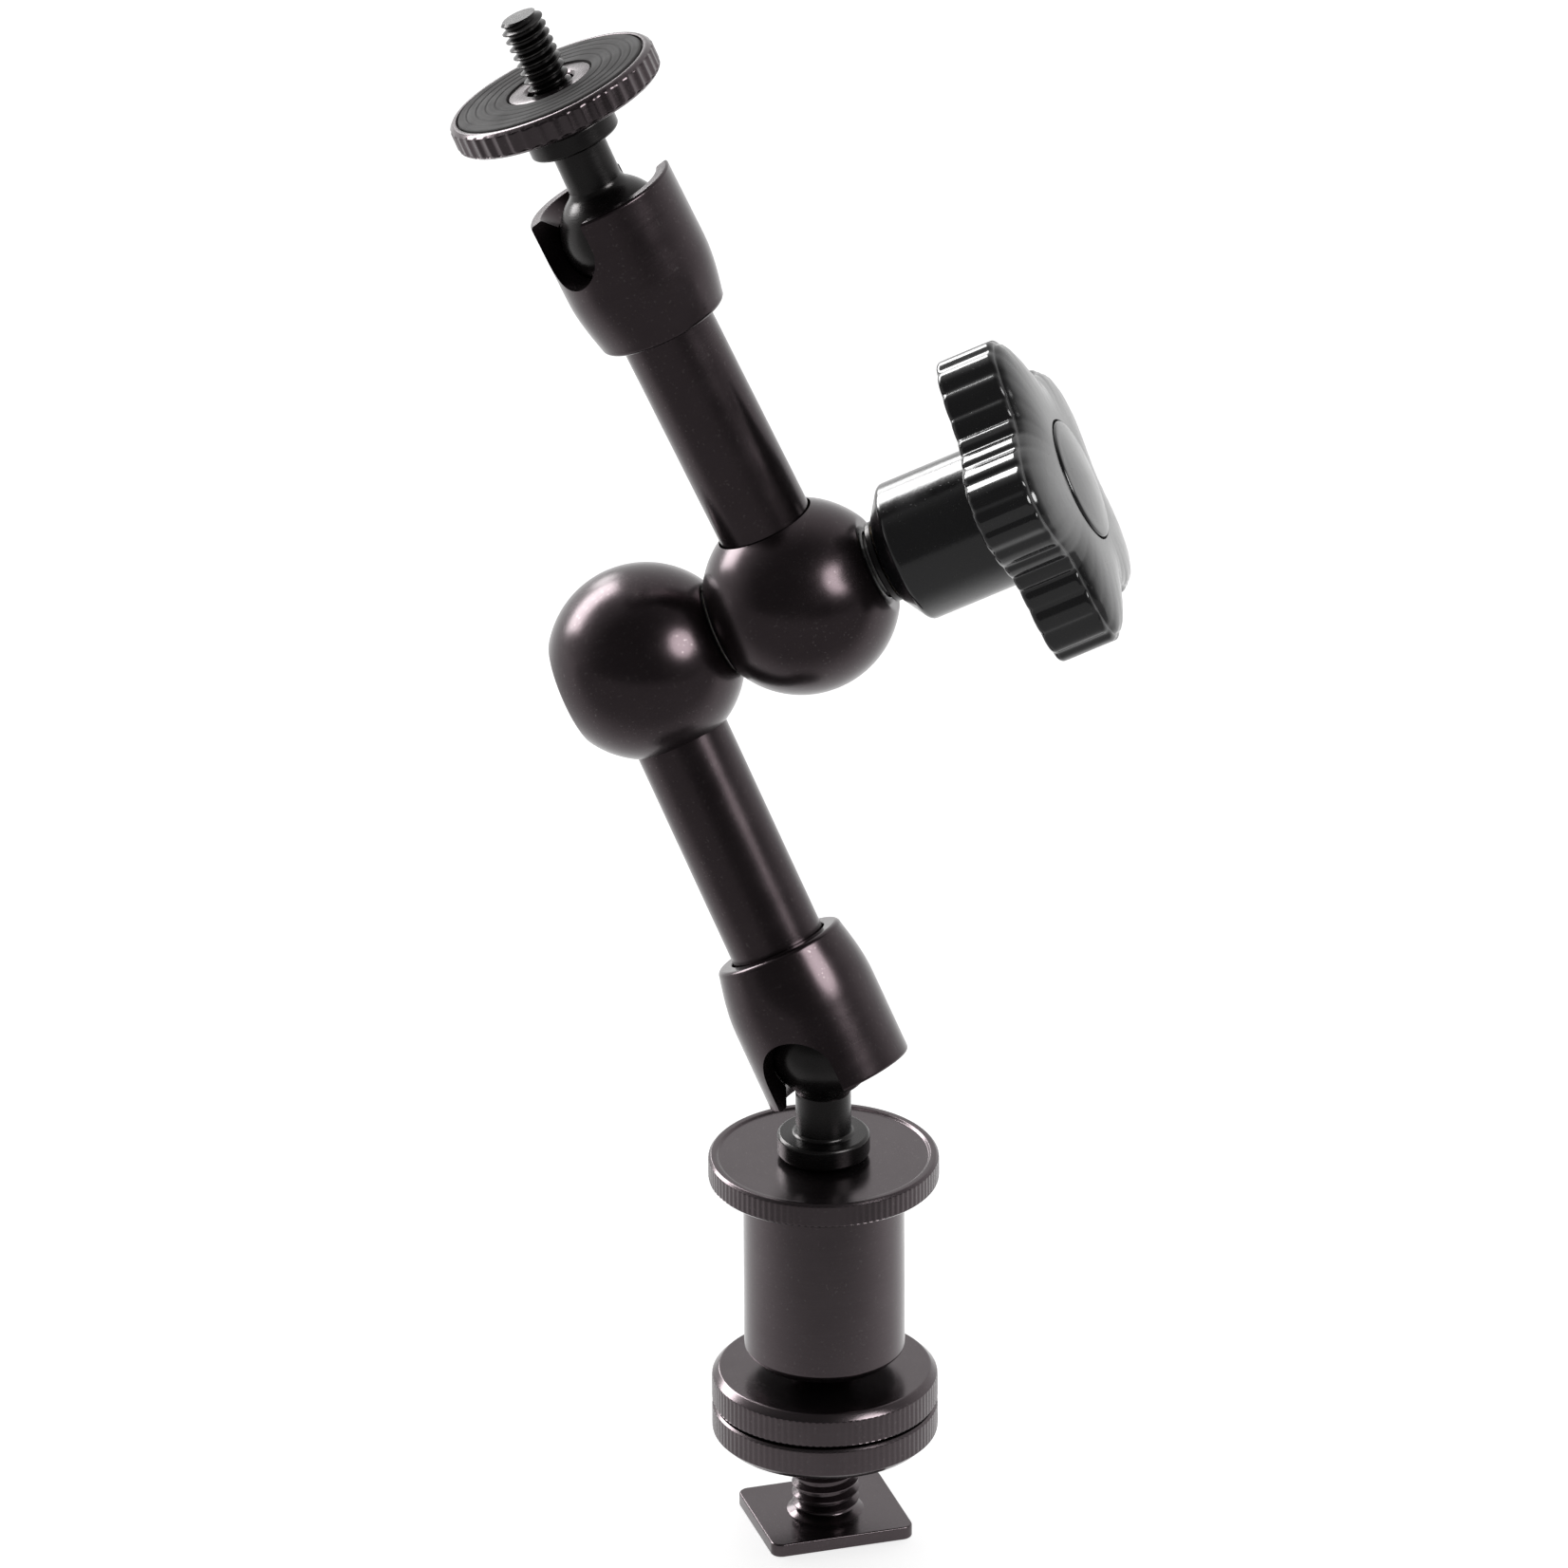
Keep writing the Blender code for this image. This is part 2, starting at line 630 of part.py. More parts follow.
def knob_ring(count, height, spread=1.0, inset=0.0):
    """One level of the knob's grip: round lobes with ribs along them, drawn in towards the cap by spread."""
    core = CAP_RADIUS - GAP
    ring = []
    for i in range(count):
        angle = 2 * math.pi * i / count
        valley = 0.5 - 0.5 * math.cos(KNOB_LOBES * (angle - math.pi))
        rib = RIB_DEPTH if i % 2 else 0.0
        outer = KNOB_RADIUS - KNOB_VALLEY * valley - rib - inset
        reach = core + (outer - core) * spread
        ring.append((reach * math.cos(angle), reach * math.sin(angle), height))
    return ring


def knob(knob_axis, gloss, brass, cap_black):
    """Lobed hand knob with its collar, threaded nut and face cap; +Z is the face side."""
    count = KNOB_LOBES * RIBS_PER_LOBE * 2
    face = KNOB_BACK + KNOB_SKIRT
    rings = [
        knob_ring(count, KNOB_BACK, 1.0, KNOB_BACK_EDGE),
        knob_ring(count, KNOB_BACK + KNOB_BACK_EDGE),
    ]
    for step in range(EDGE_STEPS + 1):
        turn = 0.5 * math.pi * step / EDGE_STEPS
        inset = KNOB_FRONT_ROUND * (1 - math.cos(turn))
        rings.append(knob_ring(count, face - KNOB_FRONT_ROUND * (1 - math.sin(turn)), 1.0, inset))
    for step in range(1, EDGE_STEPS + 1):
        turn = 0.5 * math.pi * step / EDGE_STEPS
        height = face + KNOB_DOME * math.sin(turn)
        rings.append(knob_ring(count, height, math.cos(turn), KNOB_FRONT_ROUND))
    body = place("knob_body", stacked(rings), knob_axis, gloss)
    collar = [
        (0.0, COLLAR_START),
        (COLLAR_NOSE_RADIUS, COLLAR_START),
        (COLLAR_RADIUS, COLLAR_START + COLLAR_NOSE_LENGTH),
        (COLLAR_RADIUS, KNOB_BACK - COLLAR_FLARE),
        (COLLAR_RADIUS + COLLAR_FLARE, KNOB_BACK),
        (COLLAR_RADIUS + COLLAR_FLARE, KNOB_BACK + COLLAR_FLARE),
        (0.0, KNOB_BACK + COLLAR_FLARE),
    ]
    combine(body, turned(collar, ROUND), "UNION")
    nut_end = COLLAR_START + NUT_LENGTH
    hole_radius = NUT_RADIUS + GAP / math.cos(math.pi / HEX_SIDES)
    combine(body, turned(bore_tool(hole_radius, COLLAR_START - GAP, nut_end + GAP), HEX_SIDES))
    cap_floor = face + KNOB_DOME - CAP_RECESS
    combine(body, turned(bore_tool(CAP_RADIUS + GAP, cap_floor, face + 2 * KNOB_DOME), ROUND))

    nut = place("knob_nut", turned(bore_tool(NUT_RADIUS, COLLAR_START, nut_end), HEX_SIDES), knob_axis, brass)
    combine(nut, turned(bore_tool(SHAFT_BORE, COLLAR_START - GAP, nut_end + GAP), SMALL))

    crown_reach = CAP_RADIUS - CAP_EDGE
    crown_radius = (crown_reach**2 + CAP_CROWN**2) / (2 * CAP_CROWN)
    crown_angle = math.degrees(math.asin(crown_reach / crown_radius))
    cap_top = cap_floor + GAP + CAP_RECESS
    cap = [
        (0.0, cap_floor + GAP),
        (CAP_RADIUS, cap_floor + GAP),
        (CAP_RADIUS, cap_top - CAP_EDGE),
    ]
    cap += arc(crown_radius, crown_angle, 0.0, EDGE_STEPS, cap_top + CAP_CROWN - crown_radius)
    cap[-1] = (0.0, cap_top + CAP_CROWN)
    place("knob_cap", turned(cap, ROUND), knob_axis, cap_black)


def main():
    clear_scene()
    black = finish("black anodised aluminium", (0.030, 0.024, 0.026), 0.38, 0.85)
    satin = finish("satin black anodised aluminium", (0.075, 0.064, 0.068), 0.45, 0.70)
    steel = finish("blackened steel", (0.055, 0.050, 0.050), 0.35, 0.90)
    bright = finish("bright steel", (0.50, 0.50, 0.50), 0.30, 1.0)
    brass = finish("brass", (0.60, 0.42, 0.16), 0.35, 1.0)
    nylon = finish("white nylon", (0.75, 0.75, 0.72), 0.50, 0.0)
    gloss = finish("gloss black plastic", (0.012, 0.012, 0.013), 0.18, 0.0)
    rubber = finish("grey rubber", (0.16, 0.15, 0.15), 0.75, 0.0)

    base = axis_frame("base_axis")
    lower_stud_axis = axis_frame(
        "lower_stud_axis", base, (0.0, 0.0, LOWER_BALL_HEIGHT), (0.0, 0.0, LOWER_PAN)
    )
    lower_screw_axis = axis_frame("lower_screw_axis", lower_stud_axis, turn=(180.0, 0.0, 0.0))
    lower_tilt_axis = axis_frame("lower_tilt_axis", lower_stud_axis, turn=(0.0, LOWER_LEAN, 0.0))
    lower_spin_axis = axis_frame("lower_spin_axis", lower_tilt_axis, turn=(0.0, 0.0, LOWER_ROLL))
    lower_arm_axis = axis_frame(
        "lower_arm_axis", lower_spin_axis, (0.0, 0.0, ARM_LENGTH), (180.0, 0.0, 0.0)
    )
    upper_arm_axis = axis_frame(
        "upper_arm_axis", lower_spin_axis, (ELBOW_CENTRES, 0.0, ARM_LENGTH), (ELBOW_BEND, 0.0, 0.0)
    )
    upper_swivel_axis = axis_frame(
        "upper_swivel_axis", upper_arm_axis, (0.0, 0.0, ARM_LENGTH), (0.0, 0.0, UPPER_SWIVEL)
    )
    upper_screw_axis = axis_frame("upper_screw_axis", upper_swivel_axis, turn=(0.0, UPPER_LEAN, 0.0))

    shoe_adapter(base, black, satin)
    ball_stud("lower_ball_stud", lower_screw_axis, steel)
    ball_stud("upper_ball_stud", upper_screw_axis, steel)
    lock_discs(lower_screw_axis, upper_screw_axis, satin, rubber)
    arm_section("lower", lower_arm_axis, LOWER_NOTCH_TURN, black, bright, brass)
    arm_section("upper", upper_arm_axis, UPPER_NOTCH_TURN, black, bright, brass)
    elbow_ball("lower_elbow_ball", lower_arm_axis, 1, FAR_FLAT_REACH, black)
    elbow_ball("upper_elbow_ball", upper_arm_axis, -1, KNOB_FLAT_REACH, black)
    knob_axis = clamp_train(lower_arm_axis, upper_arm_axis, bright, brass, nylon)
    knob(knob_axis, gloss, brass, gloss)


main()
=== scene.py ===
"""Looks of the articulating friction arm: knurled pieces, threads, finishes, light and camera."""

import json
import math

import bmesh
import bpy
from mathutils import Matrix, Vector


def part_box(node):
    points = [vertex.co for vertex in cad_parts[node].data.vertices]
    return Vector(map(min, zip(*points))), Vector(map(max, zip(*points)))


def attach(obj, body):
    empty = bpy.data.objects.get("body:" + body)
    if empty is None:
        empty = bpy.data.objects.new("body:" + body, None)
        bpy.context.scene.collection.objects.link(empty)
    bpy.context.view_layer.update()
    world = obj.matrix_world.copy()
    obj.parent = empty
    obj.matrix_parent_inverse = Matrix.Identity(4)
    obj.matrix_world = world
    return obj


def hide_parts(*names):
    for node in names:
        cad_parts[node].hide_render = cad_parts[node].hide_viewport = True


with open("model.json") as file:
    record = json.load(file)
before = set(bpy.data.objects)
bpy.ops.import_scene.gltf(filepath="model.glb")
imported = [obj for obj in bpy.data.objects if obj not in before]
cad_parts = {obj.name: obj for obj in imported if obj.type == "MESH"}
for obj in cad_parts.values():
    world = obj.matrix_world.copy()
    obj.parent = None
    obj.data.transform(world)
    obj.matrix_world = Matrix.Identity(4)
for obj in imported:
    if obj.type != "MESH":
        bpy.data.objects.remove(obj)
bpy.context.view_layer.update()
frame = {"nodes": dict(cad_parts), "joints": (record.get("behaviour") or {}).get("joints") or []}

# Clearance that the turned pieces keep to each other
GAP = 0.0003

# Distances under which points count as one: in a plain mesh, and after a thread or a Boolean
MERGE = 1e-7
WELD = 1e-6

# Facets round a piece and along its curves
FINE = 128
BALL = 160
ROUND = 96
SMALL = 64
HEX_SIDES = 6
CORNER_STEPS = 3
BALL_STEPS = 40
CROWN_STEPS = 12
TAPER_STEPS = 12
SHOULDER_STEPS = 6
KNOB_EDGE_STEPS = 8
THREAD_STEPS = 48
EDGE_STEPS = 2
SHARP_ANGLE = 38.0

# Roundings of turned corners, from the corner to where the curve starts
GROOVE_ROUND = 0.00006
PAD_ROUND = 0.00008
TINY_ROUND = 0.0001
FLANGE_ROUND = 0.00015
SMALL_ROUND = 0.0002
LARGE_ROUND = 0.0003

# Shoe adapter
FOOT_CORNER = 0.0016
FOOT_EDGE = 0.00025
STEM_DEPTH = 0.0009
STEM_PITCH = 0.0015875
STEM_RELIEF = 0.0012
STEM_FILLET = 0.0007
STEM_TIP = 0.0007
CLAMP_UNDERCUT = 0.0012
RING_SHOULDER = 0.0010
RING_EDGE = 0.0004
RING_BORE_EDGE = 0.0006
RING_KNURLS = 104
KNURL_DEPTH = 0.00009
BARREL_FOOT_CHAMFER = 0.0015
BARREL_EDGE = 0.0006
STEM_ENGAGEMENT = 0.0125

# Ball studs and their discs
BALL_RADIUS = 0.0079
NECK_RADIUS = 0.00395
NECK_SPREAD = 0.0005
NECK_FILLET = 0.0007
NECK_TOP_ROUND = 0.0004
NECK_FOOT_ROUND = 0.0006
FLANGE_RADIUS = 0.0066
FLANGE_THICKNESS = 0.0032
FLANGE_REACH = 0.0173
FLANGE_EDGE = 0.00035
SCREW_RADIUS = 0.003175
SCREW_PITCH = 0.00127
SCREW_DEPTH = 0.00072
SCREW_TIP = 0.0007
SCREW_RELIEF = 0.0009
DISC_RIM_WIDTH = 0.0012
DISC_DISH = 0.0003
DISC_KNURLS = 108
UPPER_FLUTES = 44
UPPER_FLUTE_DEPTH = 0.00025
UPPER_DISC_EDGE = 0.0006
UPPER_BORE_EDGE = 0.0004
PAD_INNER_RADIUS = 0.0065
PAD_PROUD = 0.0002
PAD_RIDGES = 5
PAD_RIDGE_DEPTH = 0.00014
PAD_RIDGE_SHARE = 0.72
PAD_GROOVE_SHARE = 0.86

# Arms
TUBE_EDGE = 0.0004
ROD_RADIUS = 0.0025
POCKET_RADIUS = BALL_RADIUS + GAP
CUP_SHOULDER_WALL = 0.0023
CUP_SHOULDER_ROUND = 0.0008
CUP_TAPER_LENGTH = 0.0085
CUP_EDGE = 0.0004
LIP_ANGLE = 65.0
LIP_FLARE = 0.0015
NOTCH_WIDTH = 0.0113
NOTCH_DEPTH = 0.0096
LOWER_NOTCH_TURN = 20.0
UPPER_NOTCH_TURN = -43.0
NOTCH_EDGE = 0.00022
CUT_EDGE = 0.0001

# Elbow
ELBOW_RADIUS = 0.0140
MATING_REACH = 0.0120
FAR_FLAT_REACH = 0.0116
KNOB_FLAT_REACH = 0.0120
SHOULDER_REACH = 0.0052
WEDGE_BORE = 0.0050
SPRING_BORE = 0.0039
WASHER_RADIUS = 0.0060
WASHER_THICKNESS = 0.0012
BOLT_RADIUS = 0.0025
WEDGE_RADIUS = 0.0047
WEDGE_TIP_RADIUS = 0.0035
WEDGE_BASE_REACH = 0.0045
WEDGE_TIP_REACH = 0.0030
BOLT_KEY_RADIUS = 0.0023
BOLT_KEY_DEPTH = 0.0022
BOLT_EDGE = 0.0004

# Knob
COLLAR_RADIUS = 0.0103
COLLAR_LENGTH = 0.0182
COLLAR_NOSE_RADIUS = 0.0066
COLLAR_NOSE_LENGTH = 0.0026
COLLAR_FLARE = 0.0009
COLLAR_NOSE_ROUND = 0.0005
KNOB_RADIUS = 0.0238
KNOB_VALLEY = 0.0056
KNOB_LOBES = 5
KNOB_SKIRT = 0.0089
KNOB_DOME = 0.0026
KNOB_BACK_EDGE = 0.0009
KNOB_FRONT_ROUND = 0.0009
KNOB_RIBS = 40
RIB_DEPTH = 0.00042
RIB_FADE = 0.75
KNOB_POINTS = 480
NUT_RADIUS = 0.0056
CAP_RADIUS = 0.0088
CAP_RECESS = 0.0012
CAP_CROWN = 0.0007
CAP_EDGE = 0.0003

# Finishes: how deep the tool lines look, and how far down a thread's crest is rubbed bright
LINE_RELIEF = 0.00005
RUBBED_DEPTH = 0.00022

# Lamps and floor, in metres and watts
LAMP_DISTANCE = 1.2
STRIP_SIZE = (0.46, 0.95)
STRIP_POWER = 25.0
WINDOW_SIZE = (0.62, 0.62)
WINDOW_POWER = 12.5
REAR_SIZE = (0.28, 0.28)
REAR_POWER = 1.5
FLOOR_REACH = 6.0

# Camera, as fitted to the photograph's 1652 pixel square frame
PHOTO_SIZE = 1652.0
SENSOR_MM = 36.0
VIEW_AZIMUTH = -16.56
VIEW_ELEVATION = 25.98
VIEW_ROLL = 0.36
VIEW_DISTANCE = 3.32
PIXELS_PER_METRE = 7474.0
TARGET = Vector((0.0, 0.0, 0.110))
TARGET_PIXEL = (865.8, 873.3)


def place_along(origin, direction, side):
    """A place whose Z runs along direction and whose X leans towards side."""
    z_way = direction.normalized()
    x_way = (side - z_way * side.dot(z_way)).normalized()
    turn = Matrix((x_way, z_way.cross(x_way), z_way)).transposed().to_4x4()
    return Matrix.Translation(origin) @ turn


JOINTS = {joint["name"]: joint for joint in frame["joints"]}


def axis_of(joint):
    return Vector(JOINTS[joint]["axis"]).normalized()


def centre_of(joint):
    return Vector(JOINTS[joint]["pos_m"])


UP = Vector((0.0, 0.0, 1.0))
LOWER_BALL = centre_of("lower_tilt")
UPPER_BALL = centre_of("upper_tilt")
UPPER_ELBOW = centre_of("elbow_fold")
LOWER_RUN = axis_of("lower_spin")
UPPER_RUN = axis_of("upper_swivel")
CLAMP_WAY = axis_of("elbow_fold")
LOWER_ELBOW = LOWER_BALL + LOWER_RUN * (UPPER_ELBOW - LOWER_BALL).dot(LOWER_RUN)
ARM_LENGTH = (UPPER_BALL - UPPER_ELBOW).length

BASE = Matrix.Identity(4)
LOWER_STUD = place_along(LOWER_BALL, -UP, axis_of("lower_tilt"))
UPPER_STUD = place_along(UPPER_BALL, axis_of("upper_disc_travel"), axis_of("upper_tilt"))
LOWER_ARM = place_along(LOWER_ELBOW, -LOWER_RUN, CLAMP_WAY)
UPPER_ARM = place_along(UPPER_ELBOW, UPPER_RUN, CLAMP_WAY)
DRAW_BOLT = place_along(LOWER_ELBOW, CLAMP_WAY, LOWER_RUN)
KNOB = place_along(UPPER_ELBOW, CLAMP_WAY, -UPPER_RUN)


def measure(node, place):
    """Lowest and highest point of a frame node along a place's Z, and its radius round that Z."""
    back = place.inverted()
    points = [back @ vertex.co for vertex in frame["nodes"][node].data.vertices]
    heights = [point.z for point in points]
    return min(heights), max(heights), max(math.hypot(point.x, point.y) for point in points)


class Field:
    """A shader socket in an expression: each operation on it adds its Math node."""

    def __init__(self, network, socket):
        self.network = network
        self.socket = socket

    def math(self, operation, *others, clamp=False):
        settings = {"operation": operation, "use_clamp": clamp}
        return self.network.node("ShaderNodeMath", settings, dict(enumerate((self, *others))))

    def __add__(self, other):
        return self.math("ADD", other)

    def __radd__(self, other):
        return self.math("ADD", other)

    def __sub__(self, other):
        return self.math("SUBTRACT", other)

    def __rsub__(self, other):
        return self.math("MULTIPLY_ADD", -1.0, other)

    def __mul__(self, other):
        return self.math("MULTIPLY", other)

    def __rmul__(self, other):
        return self.math("MULTIPLY", other)

    def clamped(self):
        return self.math("ADD", 0.0, clamp=True)


class Network:
    """A node tree: every node is added by its one method."""

    def __init__(self, tree):
        self.tree = tree

    def put(self, socket, value):
        """Links a field to a socket, or sets the socket to a plain value."""
        if isinstance(value, Field):
            self.tree.links.new(value.socket, socket)
        else:
            socket.default_value = value

    def node(self, kind, settings=None, sockets=None, output=0):
        """Adds a node: its settings first, then its sockets' values or links."""
        made = self.tree.nodes.new(kind)
        for name, value in (settings or {}).items():
            setattr(made, name, value)
        for key, value in (sockets or {}).items():
            self.put(made.inputs[key], value)
        return Field(self, made.outputs[output])

    def ranged(self, value, low, high, to_low=0.0, to_high=1.0):
        """A smooth, clamped change of range."""
        sockets = {
            "Value": value,
            "From Min": low,
            "From Max": high,
            "To Min": to_low,
            "To Max": to_high,
        }
        return self.node("ShaderNodeMapRange", {"interpolation_type": "SMOOTHSTEP"}, sockets)

    def blend(self, factor, first, second):
        """A colour between two."""
        settings = {"data_type": "RGBA"}
        return self.node("ShaderNodeMix", settings, {0: factor, 6: first, 7: second}, output=2)


class Surface(Network):
    """A Principled material whose patterns lie in a piece's own place."""

    def __init__(self, name, place):
        self.material = bpy.data.materials.new(name)
        self.material.use_nodes = True
        super().__init__(self.material.node_tree)
        self.shader = self.tree.nodes["Principled BSDF"]
        self.spot = self.node(
            "ShaderNodeMapping",
            {"vector_type": "TEXTURE"},
            {
                "Vector": self.node("ShaderNodeTexCoord", output="Object"),
                "Location": place.translation,
                "Rotation": place.to_euler(),
            },
        )
        parts = self.node("ShaderNodeSeparateXYZ", None, {0: self.spot}).socket.node
        self.x, self.y, self.height = (Field(self, socket) for socket in parts.outputs)
        self.radius = (self.x * self.x + self.y * self.y).math("SQRT")
        self.angle = self.y.math("ARCTAN2", self.x)

    def noise(self, scale, detail=2.0, roughness=0.5, at=None, distortion=0.0):
        sockets = {
            "Scale": scale,
            "Detail": detail,
            "Roughness": roughness,
            "Distortion": distortion,
            "Vector": at or self.spot,
        }
        return self.node("ShaderNodeTexNoise", {"noise_dimensions": "3D"}, sockets)

    def lathed(self, lines_per_metre, around):
        """Tool lines round the piece: fine across it, and long along the angle."""
        sockets = {
            0: self.radius * lines_per_metre,
            1: self.angle * around,
            2: self.height * lines_per_metre,
        }
        at = self.node("ShaderNodeCombineXYZ", None, sockets)
        return self.noise(1.0, detail=3.0, roughness=0.6, at=at)

    def bump(self, height, strength, distance, normal=None):
        sockets = {"Height": height, "Strength": strength, "Distance": distance}
        if normal:
            sockets["Normal"] = normal
        return self.node("ShaderNodeBump", None, sockets)

    def finish(self, **inputs):
        """Sets or links the shader's inputs and gives the material back."""
        for name, value in inputs.items():
            self.put(self.shader.inputs[name.replace("_", " ").title().replace("Ior", "IOR")], value)
        return self.material


def shade(red, green, blue):
    return (red, green, blue, 1.0)


def grey(level):
    return shade(level, level, level)


def anodised(name, place, dark, pale, roughness, metallic, lathe):
    """Black anodised aluminium: faint tool lines round the piece, a warm cast, specks and hairlines."""
    surface = Surface(name, place)
    lines = surface.lathed(5200.0, 1.5)
    broad = surface.noise(140.0, detail=3.0, roughness=0.55)
    specks = surface.ranged(surface.noise(2600.0, detail=1.0), 0.66, 0.74)
    hair = surface.noise(900.0, roughness=0.7, distortion=1.5)
    hairlines = surface.ranged((hair - 0.5).math("ABSOLUTE"), 0.0, 0.006, 1.0, 0.0)
    rare = surface.ranged(surface.noise(60.0, detail=1.0), 0.55, 0.65)
    scratch = hairlines * rare
    tone = (broad * 0.6 + lines * 0.4).clamped()
    colour = surface.blend(tone, dark, pale)
    colour = surface.blend(specks * 0.35 + scratch * 0.10, colour, shade(0.16, 0.145, 0.145))
    rough = (lines - 0.5) * 0.10 * lathe + (broad - 0.5) * 0.16 + roughness + scratch * 0.08
    relief = surface.bump(lines, 0.10 * lathe, LINE_RELIEF)
    relief = surface.bump(surface.noise(3200.0, roughness=0.6), 0.06, 0.00004, relief)
    return surface.finish(
        base_color=colour,
        roughness=rough.clamped(),
        metallic=metallic,
        normal=relief,
    )


def black_anodised(name, place):
    dark = shade(0.034, 0.025, 0.028)
    pale = shade(0.058, 0.045, 0.049)
    return anodised(name, place, dark, pale, roughness=0.24, metallic=0.84, lathe=0.5)


def satin_anodised(name, place):
    dark = shade(0.060, 0.048, 0.052)
    pale = shade(0.095, 0.080, 0.085)
    return anodised(name, place, dark, pale, roughness=0.21, metallic=0.90, lathe=1.0)


def black_steel(name, place):
    """Black oxide on turned steel, rubbed a little brighter on the crests of the screw."""
    surface = Surface(name, place)
    lines = surface.lathed(4600.0, 2.0)
    broad = surface.noise(220.0, detail=3.0, roughness=0.6)
    screw = surface.ranged(surface.height, FLANGE_REACH, FLANGE_REACH + GAP)
    crest = surface.ranged(surface.radius, SCREW_RADIUS - RUBBED_DEPTH, SCREW_RADIUS)
    rubbed = crest * screw * surface.ranged(broad, 0.35, 0.6)
    colour = surface.blend(broad, shade(0.016, 0.015, 0.015), shade(0.034, 0.032, 0.032))
    colour = surface.blend(rubbed * 0.7, colour, shade(0.09, 0.087, 0.085))
    rough = (lines - 0.5) * 0.12 + (broad - 0.5) * 0.14 + 0.27 - rubbed * 0.06
    relief = surface.bump(lines, 0.10, LINE_RELIEF)
    return surface.finish(
        base_color=colour,
        roughness=rough.clamped(),
        metallic=0.85,
        normal=relief,
    )


def gloss_plastic(name, place):
    """Moulded gloss plastic: a slight orange peel, finger haze and a few fine specks."""
    surface = Surface(name, place)
    haze = surface.noise(90.0, detail=4.0, roughness=0.6, distortion=0.4)
    peel = surface.noise(650.0)
    specks = surface.ranged(surface.noise(3100.0, detail=1.0), 0.70, 0.76)
    colour = surface.blend(haze, shade(0.008, 0.008, 0.009), shade(0.014, 0.0135, 0.015))
    colour = surface.blend(specks * 0.25, colour, shade(0.10, 0.095, 0.09))
    rough = surface.ranged(haze, 0.3, 0.7, 0.13, 0.22) + specks * 0.2
    relief = surface.bump(peel, 0.05, 0.0003)
    return surface.finish(
        base_color=colour,
        roughness=rough.clamped(),
        metallic=0.0,
        ior=1.6,
        normal=relief,
    )


def grey_rubber(name, place):
    """Matt grey rubber with moulded rings and paler dust in them."""
    surface = Surface(name, place)
    grain = surface.noise(1800.0, detail=4.0, roughness=0.65)
    patch = surface.noise(160.0, detail=3.0, roughness=0.6)
    rings = (surface.radius * 9000.0).math("SINE") * 0.5 + 0.5
    tone = (grain * 0.35 + patch * 0.45 + rings * 0.2).clamped()
    colour = surface.blend(tone, shade(0.050, 0.047, 0.047), shade(0.105, 0.10, 0.10))
    relief = surface.bump(grain * 0.5 + rings * 0.5, 0.25, 0.00006)
    return surface.finish(
        base_color=colour,
        roughness=surface.ranged(patch, 0.3, 0.7, 0.72, 0.86),
        metallic=0.0,
        specular_ior_level=0.25,
        normal=relief,
    )


def turned_metal(name, place, dark, pale, roughness):
    """Bright or brass turned metal with lathe lines and a light stain."""
    surface = Surface(name, place)
    lines = surface.lathed(4200.0, 2.0)
    stain = surface.noise(260.0, detail=3.0, roughness=0.6)
    colour = surface.blend((stain * 0.7 + lines * 0.3).clamped(), dark, pale)
    rough = (lines - 0.5) * 0.16 + (stain - 0.5) * 0.14 + roughness
    relief = surface.bump(lines, 0.15, LINE_RELIEF)
    return surface.finish(
        base_color=colour,
        roughness=rough.clamped(),
        metallic=1.0,
        normal=relief,
    )


def brass(name, place):
    return turned_metal(name, place, shade(0.46, 0.30, 0.11), shade(0.66, 0.47, 0.20), 0.30)


def bright_steel(name, place):
    return turned_metal(name, place, grey(0.38), shade(0.56, 0.56, 0.55), 0.28)


def white_nylon(name, place):
    """Slightly yellowed nylon with a fine grain."""
    surface = Surface(name, place)
    grain = surface.noise(1500.0, detail=3.0, roughness=0.6)
    cast = surface.noise(200.0)
    return surface.finish(
        base_color=surface.blend(cast, shade(0.66, 0.65, 0.60), shade(0.76, 0.75, 0.72)),
        roughness=0.45,
        metallic=0.0,
        normal=surface.bump(grain, 0.1, LINE_RELIEF),
    )


def rounded(shape, corners):
    """Rounds a wire's corners, given as pairs of a vertex and its rounding."""
    for size in sorted({size for _, size in corners if size}):
        bmesh.ops.bevel(
            shape,
            geom=[vertex for vertex, given in corners if given == size],
            offset=size,
            offset_type="OFFSET",
            segments=CORNER_STEPS,
            profile=0.5,
            affect="VERTICES",
            material=-1,
        )


def turned(profile, segments):
    """Revolves points of (radius, height) or (radius, height, rounding) about Z.

    A profile that starts off the axis is closed into a ring.
    """
    shape = bmesh.new()
    points = [shape.verts.new((point[0], 0.0, point[1])) for point in profile]
    corners = [(vertex, sum(point[2:])) for vertex, point in zip(points, profile)]
    links = list(zip(points, points[1:]))
    if profile[0][0] > 0:
        links.append((points[-1], points[0]))
    for link in links:
        shape.edges.new(link)
    rounded(shape, corners)
    bmesh.ops.spin(
        shape,
        geom=shape.verts[:] + shape.edges[:],
        cent=(0.0, 0.0, 0.0),
        axis=(0.0, 0.0, 1.0),
        angle=2 * math.pi,
        steps=segments,
        use_merge=True,
    )
    bmesh.ops.remove_doubles(shape, verts=shape.verts, dist=MERGE)
    return shape


def arc(radius, first, last, steps, centre=0.0, offset=0.0):
    """Profile points on a circle; angles in degrees from +Z."""
    angles = [math.radians(first + (last - first) * i / steps) for i in range(steps + 1)]
    return [(offset + radius * math.sin(angle), centre + radius * math.cos(angle)) for angle in angles]


def rod(radius, bottom, top, segments):
    """A plain round or six-sided rod."""
    return turned([(0.0, bottom), (radius, bottom), (radius, top), (0.0, top)], segments)


